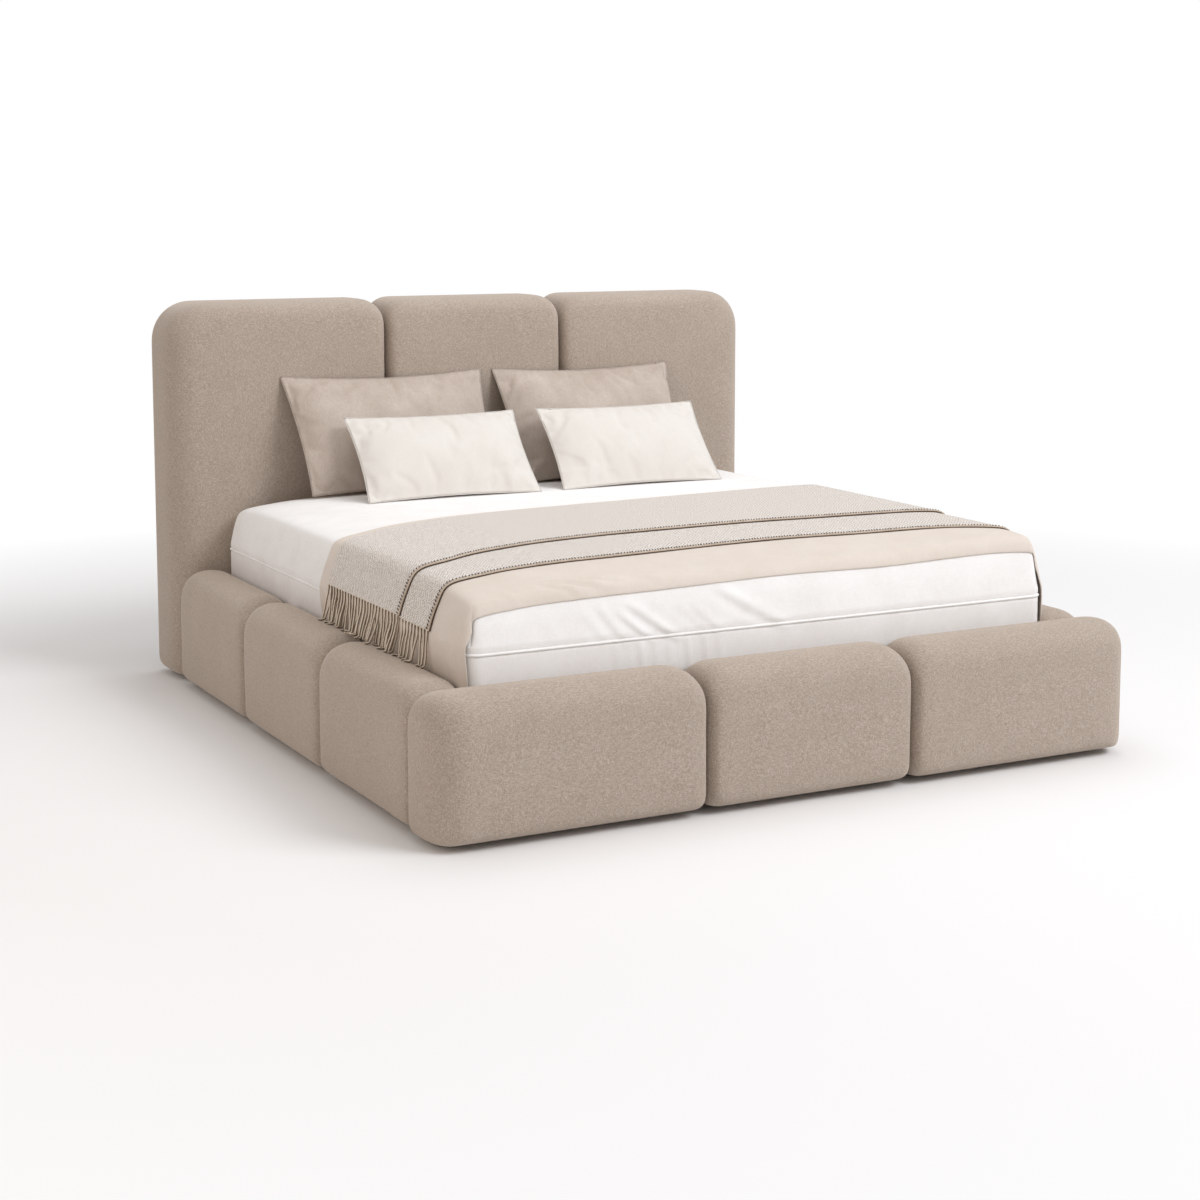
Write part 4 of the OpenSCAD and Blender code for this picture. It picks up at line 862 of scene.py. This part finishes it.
def coverlet_point(i, j):
    st = COVER_STATIONS[i]
    _, way_in, z = st
    x = on_bed(st, CLEAR).x
    if j < len(FOOT_ROWS):
        # the foot hem runs on down the sides, where it draws back towards the mattress's corner
        if z is not None:
            hem = HEM_LOW + (HEM_TOP - HEM_LOW) * smooth((z - HEM_BEND_Z) / (EDGE_Z - HEM_BEND_Z))
        else:
            hem = HEM_TOP + (soft_lookup(x, FOOT_HEM) * MM - HEM_TOP) * smooth(way_in / 0.03)
        return on_bed(st, hem + (FOOT_BAND - hem) * FOOT_ROWS[j])
    t = (j - len(FOOT_ROWS) + 1) / (COVER_ROWS - len(FOOT_ROWS))
    y0 = MAT_Y0 + FOOT_BAND
    return on_bed(st, 0, y0 + (soft_lookup(x, COVER_HEAD) - y0) * t)


def coverlet_lift(i, j):
    """how far the coverlet lies off the mattress"""
    p = coverlet_point(i, j)
    foot = smooth((p.y - MAT_Y0) / 0.10)
    corner = hang(p, FOOT_HANG)
    lift = 0.7 * MM + corner + (hang(p, HANG) * (1 + 0.12 * math.sin(p.y * 8 + p.x)) - corner) * foot
    return lift + 0.5 * MM * (1 + noise.noise(Vector((p.x * 5, p.y * 5, p.z * 5))))


bm, grid = lay(COVER_STATIONS, COVER_ROWS, coverlet_point)
moves = {key: v.normal * coverlet_lift(*key) for key, v in grid.items()}
for key, v in grid.items():
    v.co += moves[key]
coverlet = finish_mesh("coverlet", bm, 180)
thicken(coverlet, COVERLET_T, 1.0)
soften(coverlet)
# small creases where the foot hem pulls: start x, y, end x, y, width, height in millimetres
CREASES = [(-668, -914, -590, -942, 7, 4.0), (-650, -902, -520, -936, 8, 5.0),
           (-570, -896, -440, -926, 9, 3.8), (-470, -901, -350, -932, 10, 2.6),
           (-250, -911, -120, -936, 11, 1.4), (120, -925, 260, -905, 12, 0.9),
           (420, -930, 560, -900, 12, 1.0), (700, -925, 800, -880, 12, 1.0), (-800, -900, -760, -950, 9, 1.2)]
for v in coverlet.data.vertices:
    if v.co.y < -0.84 and v.co.z > 0.53:
        v.co += Vector((0, -0.5, 1.2)) * fold_height(v.co.x, v.co.y + 8 * MM, CREASES)
dress(coverlet, "coverlet_cotton", "mattress", "coverlet")

# ---------------------------------------------------------------- throw: one cloth folded lengthwise
THROW_T = 5.5 * MM
LAY_1 = 5.0 * MM + THROW_T / 2          # height of the lower layer's middle over the mattress
FOLD_R = 3.7 * MM                       # radius of the fold's middle, half the way between the layers
THROW_STATIONS = across_stations(THROW_HEM_Z, 0, 30)
LOWER, BEND, UPPER = 15, 5, 15          # rows of the lower layer, the fold and the upper layer
THROW_ROWS = LOWER + BEND + UPPER + 1


def throw_row(x, j):
    """y, height over the mattress of one row of the folded throw at x"""
    head, fold, foot = (soft_lookup(x, edge) for edge in (THROW_HEAD, FOLD_EDGE, THROW_FOOT))
    if j < LOWER:
        t = j / LOWER
        t -= 0.10 * math.sin(2 * math.pi * t) / (2 * math.pi)
        return foot + (head - foot) * t, LAY_1
    j -= LOWER
    if j <= BEND:
        angle = math.pi * j / BEND
        return head + FOLD_R * math.sin(angle), LAY_1 + FOLD_R * (1 - math.cos(angle))
    t = (j - BEND) / UPPER
    return head + (fold - head) * t, LAY_1 + 2 * FOLD_R - 0.6 * MM * smooth((t - 0.9) / 0.1)


def throw_point(i, j):
    side, e, z = THROW_STATIONS[i]
    y = throw_row(on_bed((side, e, z), CLEAR).x, j)[0]
    # the upper layer ends about 8 mm higher than the lower one
    if j > LOWER + BEND / 2:
        e = max(e, 2.5 * MM + e * 0.3)
    return on_bed((side, e, z), 0, y)


def throw_lift(i, j):
    """how far a point of the throw lies off the mattress"""
    p = throw_point(i, j)
    return throw_row(p.x, j)[1] + hang(p, HANG) + 0.5 * MM * noise.noise(Vector((p.x * 9, p.y * 9, p.z * 9)))


bm, grid = lay(THROW_STATIONS, THROW_ROWS, throw_point)
skin = {key: v.co.copy() for key, v in grid.items()}
for (i, j), v in grid.items():
    # the way out of the mattress comes from its own skin, because the folded rows turn over
    run = skin[min(i + 1, len(THROW_STATIONS) - 1), 0] - skin[max(i - 1, 0), 0]
    v.co = skin[i, j] + Vector((-run.z, 0, run.x)).normalized() * throw_lift(i, j)
throw_grid = {key: v.co.copy() for key, v in grid.items()}
throw = finish_mesh("throw_blanket", bm, 180)
thicken(throw, THROW_T, 0.0)
soften(throw)
dress(throw, "throw_wool", "mattress", "throw_blanket")


# the last radius is that of the dark cord under the hem, which stands in for the shadow there
STITCH_PITCH, STITCH_R, HEM_R, SHADOW_CORD_R = 9.0 * MM, 1.4 * MM, 3.1 * MM, 2.1 * MM
ON_TOP_X = 0.88         # nearer the middle than this, the throw lies on top of the bed


def along(points, step):
    """points at an even pitch along a line of points, with the way the line runs there"""
    out, carry = [], step / 2
    for p, q in zip(points, points[1:]):
        d = (q - p).length
        while carry < d:
            out.append((p.lerp(q, carry / d), (q - p).normalized()))
            carry += step
        carry -= d
    return out


def way_up(points, i, way):
    """out of the bedding at a station of an edge: across the run of the edge and the way in from it"""
    run = points[min(i + 1, len(points) - 1)] - points[max(i - 1, 0)]
    up = run.cross(way).normalized()
    outside = Vector((points[i].x * 0.4, 0, 1.0 if abs(points[i].x) < ON_TOP_X else 0.0))
    return up if up.dot(outside) > 0 else -up


def whip_stitches(name, row, inner_row):
    """a long edge of the throw: rolled hem, brown stitches along its inner side, and under it a dark brown
    cord that is painted shadow
    """
    rnd = random.Random(row)
    edge, inner = ([throw_grid[i, j] for i in range(len(THROW_STATIONS))] for j in (row, inner_row))
    ways = [(q - p).normalized() for p, q in zip(edge, inner)]
    ups = [way_up(edge, i, way) for i, way in enumerate(ways)]
    stitches = []
    for p, run in along(edge, STITCH_PITCH):
        near = min(range(len(edge)), key=lambda i: (edge[i] - p).length_squared)
        lean = run * rnd.uniform(1.5, 4.0) * MM
        reach = 12.5 + rnd.uniform(-1.5, 1.5)
        # points of a stitch: way in from the edge and height in millimetres, share of the lean, thickness
        stitches.append([(p + ways[near] * far * MM + lean * share + ups[near] * high * MM, thick)
                         for far, share, high, thick in ((reach, 1, 2.6, 0.7), (reach * 0.75, 0.7, 3.9, 1),
                                                         (4.6, 0.2, 3.8, 1), (2.6, 0, 2.4, 0.8))])
    hem = [(p - way * 0.6 * MM + up * 0.3 * MM, 1) for p, way, up in zip(edge, ways, ups)]
    # painted shadow: a dark brown cord just below and outside the hem, where the hem's shade falls
    yarn = [(p - way * 3.2 * MM - up * 2.4 * MM, 1) for p, way, up in zip(edge, ways, ups)]
    kinds = (("stitches", stitches, STITCH_R, 1, "edge_yarn", "fringe_yarn"),
             ("hem", [hem], HEM_R, 2, "hem_wool", "throw_wool"),
             ("edge_yarn", [yarn], SHADOW_CORD_R, 1, "edge_yarn", "fringe_yarn"))
    return [dress(cords(f"throw_{name}_{kind}", lines, radius, roundness=sides), finish, "mattress",
                  slot=slot) for kind, lines, radius, sides, finish, slot in kinds]


trim = whip_stitches("lower", 0, 1)
trim += whip_stitches("upper", THROW_ROWS - 1, THROW_ROWS - 2)

# inner top of the side pads, as (distance from the middle, height)
RAIL_TOP = [(0.905, 0.300), (0.910, 0.342), (0.9157, 0.355), (0.926, 0.367), (0.949, 0.376), (0.988, 0.380),
            (1.02, 0.380)]
STRAND_R, STRAND_PITCH = 3.0 * MM, 20.5 * MM
TUCKED = 5 * MM         # how far a strand starts up inside the hem
STRAND_POINTS = 16


def tassels(name, side, y0, y1, hem, seed):
    """a row of plied yarn ends that hang from the throw's short end and come to lie on the side pads"""
    rnd = random.Random(seed)
    n = int((y1 - y0) / STRAND_PITCH)
    lines = []
    for k in range(n + 1):
        y = y0 + (y1 - y0) * k / n
        if k % 3 == 0:      # three neighbours hang together
            bunch_y, bunch_shift, bunch_out = y + 20 * MM, rnd.uniform(-9, 9) * MM, rnd.uniform(0.12, 0.34)
        long = rnd.uniform(0.098, 0.120)
        drift = (bunch_y - y) * rnd.uniform(0.2, 0.75) + bunch_shift + rnd.uniform(-3, 3) * MM
        flare = bunch_out + rnd.uniform(-0.06, 0.06)
        phase, sway = rnd.uniform(0, 6.28), rnd.uniform(0.8, 2.4) * MM
        step = (long + TUCKED) / (STRAND_POINTS - 1)
        x, z = hem(y)
        z += TUCKED
        line = []
        for m in range(STRAND_POINTS):
            t = m / (STRAND_POINTS - 1)
            # a knot at the hem, then the twist of the plies as a slight ripple, and a thinner tip
            radius = 1.3 if m == 1 else 1.0 + 0.10 * (-1) ** m - (0.3 if m == STRAND_POINTS - 1 else 0)
            wave = sway * math.sin(phase + t * 7) * math.sin(math.pi * t)
            line.append((Vector((side * (x + 0.4 * wave), y + drift * t ** 1.5 + wave, z)), radius))
            x += step * math.sin(flare * smooth(t * 2.5))
            z -= step * math.cos(flare)
            if z < lookup(x, RAIL_TOP) + STRAND_R:
                x += step * 0.7
                z = lookup(x, RAIL_TOP) + STRAND_R * (1 + 0.5 * abs(math.sin(phase)))
        lines.append(line)
    return dress(cords(name, lines, STRAND_R, roundness=1), "fringe_yarn", "mattress")


def hem_of(rows, side):
    """place of the throw's short hem along one of its layers: (distance from the middle, height) at a y"""
    i = 0 if side < 0 else len(THROW_STATIONS) - 1
    spots = sorted((throw_grid[i, j].y, abs(throw_grid[i, j].x), throw_grid[i, j].z) for j in rows)
    return lambda y: (lookup(y, [p[:2] for p in spots]), lookup(y, [(p[0], p[2]) for p in spots]))


for side, word in ((-1, "left"), (1, "right")):
    y_head, y_fold, y_foot = (soft_lookup(side * 0.9, edge) for edge in (THROW_HEAD, FOLD_EDGE, THROW_FOOT))
    tassels(f"throw_fringe_lower_{word}", side, y_foot + 0.006, y_head - 0.012,
                           hem_of(range(LOWER + 1), side), 5 + side)
    tassels(f"throw_fringe_upper_{word}", side, y_fold + 0.006, y_head - 0.004,
                           hem_of(range(LOWER + BEND, THROW_ROWS), side), 9 + side)
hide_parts("throw_fringe")

# ---------------------------------------------------------------- pillows and cushions, blown up as cloth
PILLOW, CUSHION = (0.715, 0.425, 0.150), (0.602, 0.350, 0.116)      # width, height and depth when filled
# sides, top and bottom drawn in, and how much narrower the bottom is, in millimetres
PILLOW_HOLLOW, CUSHION_HOLLOW = (13, 20, 11, 24), (12, 10, 13, 0)
CASE_CELL = 0.0125
START = 0.34            # depth of each panel before it is swelled, as a share of the filled depth
FILL_FRAMES = 24
SEAM_R, SEAM_CELLS = 1.0 * MM, 40
PRESSED, AIR = 5 * MM, 0.8 * MM         # how gradually a pillow is pressed flat, and its room over the bed


def case_outline(p, q, size, hollow):
    """seam line of a case at a place on the border of the square -1..1: sides drawn in between the corners"""
    w, h = size[0] / 2, size[1] / 2
    side_in, top_in, bottom_in, narrow = [k * MM for k in hollow]
    x = p * (w - side_in * (1 - q * q) - narrow * (1 - q) / 2)
    y = q * (h - (top_in if q > 0 else bottom_in) * (1 - p * p))
    wave = 0.7 * MM * noise.noise(Vector((p * 9, q * 7, w * 10)))
    return x + p * wave, y + q * wave


def swell(ob):
    """blows the case up by cloth pressure; its panels are cut a little larger than the seam, which stays"""
    sewn = ob.vertex_groups.new(name="seam")
    sewn.add([v.index for v in ob.data.vertices if abs(v.co.z) < NUDGE], 1.0, "REPLACE")
    mod = ob.modifiers.new("filling", "CLOTH")
    c = mod.settings
    c.quality, c.mass, c.air_damping = 8, 0.25, 5.0
    c.tension_stiffness = c.compression_stiffness = 18
    c.shear_stiffness, c.bending_stiffness = 7, 0.12
    c.vertex_group_mass, c.pin_stiffness = "seam", 1.0
    c.shrink_min = c.shrink_max = -0.055
    c.use_pressure, c.uniform_pressure_force = True, 5.0
    c.effector_weights.gravity = 0
    mod.collision_settings.use_collision = False
    mod.point_cache.frame_start, mod.point_cache.frame_end = 1, FILL_FRAMES
    for f in range(1, FILL_FRAMES + 1):
        scene.frame_set(f)
    apply_modifiers(ob)
    scene.frame_set(1)


def stuffed(name, size, hollow, seed):
    """a sewn case with its filling: two panels sewn along the outline and swelled, so that the seam draws
    them into puckers"""
    bm = bmesh.new()
    nx, ny = round(size[0] / CASE_CELL), round(size[1] / CASE_CELL)
    bmesh.ops.create_grid(bm, x_segments=nx, y_segments=ny, size=1)
    back = bmesh.ops.duplicate(bm, geom=bm.verts[:] + bm.edges[:] + bm.faces[:])["geom"]
    back = {g for g in back if isinstance(g, bmesh.types.BMVert)}
    for v in bm.verts:
        p, q = v.co.x, v.co.y
        rise = START * size[2] * ((1 - p ** 4) * (1 - q ** 4)) ** 0.75
        rise += 0.006 * noise.noise(Vector((p * 2.5, q * 2.5, seed))) * (1 - p * p) * (1 - q * q)
        v.co = Vector((*case_outline(p, q, size, hollow), -rise if v in back else rise))
    bmesh.ops.remove_doubles(bm, verts=[v for v in bm.verts if abs(v.co.z) < NUDGE], dist=NUDGE)
    crease = bm.edges.layers.float.new("crease_edge")
    for e in bm.edges:
        e[crease] = float(all(abs(v.co.z) < NUDGE for v in e.verts))
    bmesh.ops.recalc_face_normals(bm, faces=bm.faces)
    ob = finish_mesh(name, bm, 180)
    swell(ob)
    soften(ob)
    deep = max(v.co.z for v in ob.data.vertices) - min(v.co.z for v in ob.data.vertices)
    for v in ob.data.vertices:
        v.co.z *= size[2] / deep
    return ob


def soft_stop(d, soft):
    """distance from a surface that something soft is pressed on: never through it"""
    return d if d >= soft else soft * math.exp((d - soft) / soft)


def lay_pillow(name, shape, size, hollow, lean, finish, sink, slouch, lean_on=None, squash=1.0):
    """a stuffed case leant back where its CAD node is, pressed flat on what it rests on, with its seam; a
    right one is the mirror of a left one; sink moves it down and back, and slouch its bottom and its top
    sideways, in millimetres"""
    lo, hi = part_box(name)
    mirror = Matrix.Diagonal((-1 if name.endswith("right") else 1, 1, 1, 1))
    turn = Matrix.Rotation(math.radians(90 - lean), 4, "X") @ mirror
    bm = bmesh.new()
    bm.from_mesh(shape.data)
    bmesh.ops.transform(bm, matrix=turn, verts=bm.verts)
    low, high = min(v.co.z for v in bm.verts), max(v.co.z for v in bm.verts)
    back = max(v.co.y for v in bm.verts)
    move = Vector(((lo.x + hi.x) / 2, hi.y - back + sink[1] * MM, lo.z - low - sink[0] * MM))

    def settle(p):
        up = (p.z - low) / (high - low)
        p = Vector((p.x * squash + (slouch[0] + (slouch[1] - slouch[0]) * up) * MM, p.y, p.z)) + move
        bed = top_z(MAT_W - abs(p.x), min(p.y - MAT_Y0, MAT_Y1 - p.y), sign(p.x)) + AIR
        p.z = bed + soft_stop(p.z - bed, PRESSED)
        if lean_on is not None:
            p.y = lean_on - soft_stop(lean_on - p.y, PRESSED)
        return p

    for v in bm.verts:
        v.co = settle(v.co)
    bmesh.ops.recalc_face_normals(bm, faces=bm.faces)
    ob = finish_mesh(name, bm, 180)
    dress(ob, finish, f"{name}_body", name)
    line = [(settle(turn @ Vector((*case_outline(p, q, size, hollow), 0))), 1)
            for p, q in square_border(SEAM_CELLS, SEAM_CELLS)]
    seam = cords(f"{name}_seam", [line], SEAM_R, True)
    dress(seam, finish, f"{name}_body")


pillow_shape = stuffed("pillow_case", PILLOW, PILLOW_HOLLOW, 1.3)
cushion_shape = stuffed("cushion_case", CUSHION, CUSHION_HOLLOW, 4.1)
for side, pillow_slouch, cushion_slouch, squash in (("left", (16, 7), (2, 15), 1),
                                                    ("right", (14, 14), (-3, 15), 0.957)):
    lay_pillow(f"pillow_{side}", pillow_shape, PILLOW, PILLOW_HOLLOW, 29, "pillow_linen", (2, 5),
               pillow_slouch, HEAD_Y - 0.4 * MM, squash)
    lay_pillow(f"cushion_{side}", cushion_shape, CUSHION, CUSHION_HOLLOW, 45, "cushion_cotton", (2, 0),
               cushion_slouch)
for shape in (pillow_shape, cushion_shape):
    bpy.data.objects.remove(shape)

# ---------------------------------------------------------------- inside: mattress core, box spring, linings
X_WAY, Y_WAY, Z_WAY = Vector((1, 0, 0)), Vector((0, 1, 0)), Vector((0, 0, 1))


def slab(lo, hi, corner, top=0.0, bottom=0.0, cells=0):
    """rounded block: corners in plan, then its upper and lower rims; cells cut its faces for soft waves"""
    lo, hi = Vector(lo), Vector(hi)
    bm = block(lo, hi)
    round_off(bm, [e for e in bm.edges if abs(e.verts[0].co.z - e.verts[1].co.z) > NUDGE], corner, 6)
    for z, width in ((hi.z, top), (lo.z, bottom)):
        if width:
            round_off(bm, level_edges(bm, z), width, 4)
    for k in range(1, cells):
        for way in (X_WAY, Y_WAY):
            slice_at(bm, lo.lerp(hi, k / cells), way)
    bmesh.ops.recalc_face_normals(bm, faces=bm.faces)
    return bm


CORE_LO, CORE_HI = (-0.884, -0.962, 0.3375), (0.884, 0.906, 0.541)
core = finish_mesh("mattress_core", slab(CORE_LO, CORE_HI, 0.085, 0.040, 0.008, 12), 50)
dress(core, "foam", "mattress", "mattress_core")

UNIT_Z0, UNIT_Z1, UNIT_DROP = 0.1263, 0.325, 0.1987     # lower hem and top of the box spring, and its sides
TICKING_T, DENT = 1.8 * MM, 0.9 * MM
INSET = 3.3 * MM                                        # the foam and the felt lie this far in from the cover
for word, s in (("left", -1), ("right", 1)):
    x0, x1 = sorted((s * 0.0008, s * MAT_W))
    y0, y1 = MAT_Y0, MAT_Y1

    def within(gap, z0, z1):
        return (x0 + gap, y0 + gap, z0), (x1 - gap, y1 - gap, z1)

    # ticking: a fitted box cover, open below, with waves where it is drawn over the foam
    bm = slab(*within(0, UNIT_Z0, UNIT_Z1), 0.022, 0.014, cells=36)
    under = [f for f in bm.faces if all(abs(v.co.z - UNIT_Z0) < NUDGE for v in f.verts)]
    bmesh.ops.delete(bm, geom=under, context="FACES")
    for z in (0.150, 0.190, 0.230, 0.270, 0.300):
        slice_at(bm, (0, 0, z), Z_WAY)
    bm.normal_update()
    for v in bm.verts:
        dent = 0.5 + 0.5 * noise.noise(v.co * 6 + Vector((s * 3, 0, 0)))
        v.co -= v.normal * DENT * dent * smooth((v.co.z - 0.13) / 0.03)
    ticking = finish_mesh(f"box_spring_cover_{word}", bm, 50)
    thicken(ticking, TICKING_T, -1.0)
    apply_modifiers(ticking)
    dress(ticking, "ticking", "box_springs", f"box_spring_cover_{word}")
    for piece, finish, z0, z1, top in (("topper_foam", "foam", 0.2800, 0.3217, 0.012),
                                       ("felt_pad", "felt", 0.2739, 0.2799, 0.0015)):
        ob = finish_mesh(f"{piece}_{word}", slab(*within(INSET, z0, z1), 0.018, top, 0.001, 8), 50)
        dress(ob, finish, "box_springs", f"{piece}_{word}")
    # dust cover: thin lining drawn over the underside, a little slack between the slats
    bm = slab(*within(0.0005, 0.1252, 0.1260), 0.021, cells=40)
    for v in bm.verts:
        v.co.z -= 0.5 * MM * max(noise.noise(v.co * 4), 0)
    dust = finish_mesh(f"dust_cover_{word}", bm, 50)
    dress(dust, "lining", "box_springs", f"dust_cover_{word}")

# back cover of the headboard: lining stapled over the panel, its upper corners cut off, hem turned under
BACK_X, BACK_Z0, BACK_Z1, BACK_CUT = 1.039, 0.045, 1.158, 0.098
BACK_CELLS = 60, 34
bm = bmesh.new()
rim = [(-BACK_X, BACK_Z0), (BACK_X, BACK_Z0), (BACK_X, BACK_Z1 - BACK_CUT), (BACK_X - BACK_CUT, BACK_Z1),
       (-BACK_X + BACK_CUT, BACK_Z1), (-BACK_X, BACK_Z1 - BACK_CUT)]
bmesh.ops.contextual_create(bm, geom=[bm.verts.new((x, BACK_Y - 1.2 * MM, z)) for x, z in rim])
for k in range(1, BACK_CELLS[0]):
    slice_at(bm, (-BACK_X + 2 * BACK_X * k / BACK_CELLS[0], 0, 0), X_WAY)
for k in range(1, BACK_CELLS[1]):
    slice_at(bm, (0, 0, BACK_Z0 + (BACK_Z1 - BACK_Z0) * k / BACK_CELLS[1]), Z_WAY)
for v in bm.verts:
    # slack in the middle, and drawn tight between the staples along the rim
    edge_in = min(BACK_X - abs(v.co.x), v.co.z - BACK_Z0, BACK_Z1 - v.co.z)
    slack = smooth(edge_in / 0.12)
    v.co.y -= 0.7 * MM * slack * (0.5 + 0.5 * noise.noise(Vector((v.co.x * 3, 0, v.co.z * 5))))
    v.co.y += 0.25 * MM * math.sin(v.co.x * 2 * math.pi / 0.06) * (1 - smooth(edge_in / 0.05))
bmesh.ops.recalc_face_normals(bm, faces=bm.faces)
backing = finish_mesh("headboard_back_cover", bm, 60)
thicken(backing, 1.0 * MM, 0.0)
apply_modifiers(backing)
dress(backing, "lining", "bed_frame", "headboard_back_cover")

STAPLE_IN, STAPLE_PITCH, STAPLE_R = 0.012, 0.055, 0.7 * MM
STAPLE_HALF, STAPLE_LEG = 5 * MM, Vector((0, -2.5 * MM, 0))
staples = []
line = [Vector((x * (1 - STAPLE_IN / BACK_X), BACK_Y, z + (STAPLE_IN if z < 0.5 else -STAPLE_IN)))
        for x, z in rim]
for p, way in along(line + line[:1], STAPLE_PITCH):
    ends = p - way * STAPLE_HALF, p + way * STAPLE_HALF
    staples.append([(q, 1) for q in (ends[0] + STAPLE_LEG, *ends, ends[1] + STAPLE_LEG)])
staple_rows = cords("headboard_back_staples", staples, STAPLE_R, roundness=1)
dress(staple_rows, "zinc_steel", "bed_frame")

# ---------------------------------------------------------------- finishes of the parts that stay as in CAD
CAD_FINISH = {
    "panel": ["headboard_panel"],
    "timber": ["side_board_left", "side_board_right", "ledger_left", "ledger_right", "centre_beam",
               "mounting_block_left", "mounting_block_right"],
    "timber_x": ["foot_board", "head_rail", "box_spring_frame_left", "box_spring_frame_right"],
    "leg_wood": ["centre_legs"],
    "bracket_steel": ["corner_brackets", "beam_hangers"],
    "zinc_steel": ["corner_bolts", "headboard_bolts", "hanger_screws", "ledger_screws"],
    "spring_steel": ["wave_springs_left", "wave_springs_right"],
    "clip_plastic": ["spring_clips_left", "spring_clips_right"],
    "glide_plastic": ["leg_glides", "floor_glides"],
}
for finish, names in CAD_FINISH.items():
    for name in names:
        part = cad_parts[name]
        if not part.material_slots:
            part.data.materials.append(MATERIALS[finish])
        for place in part.material_slots:
            place.material = MATERIALS[finish]
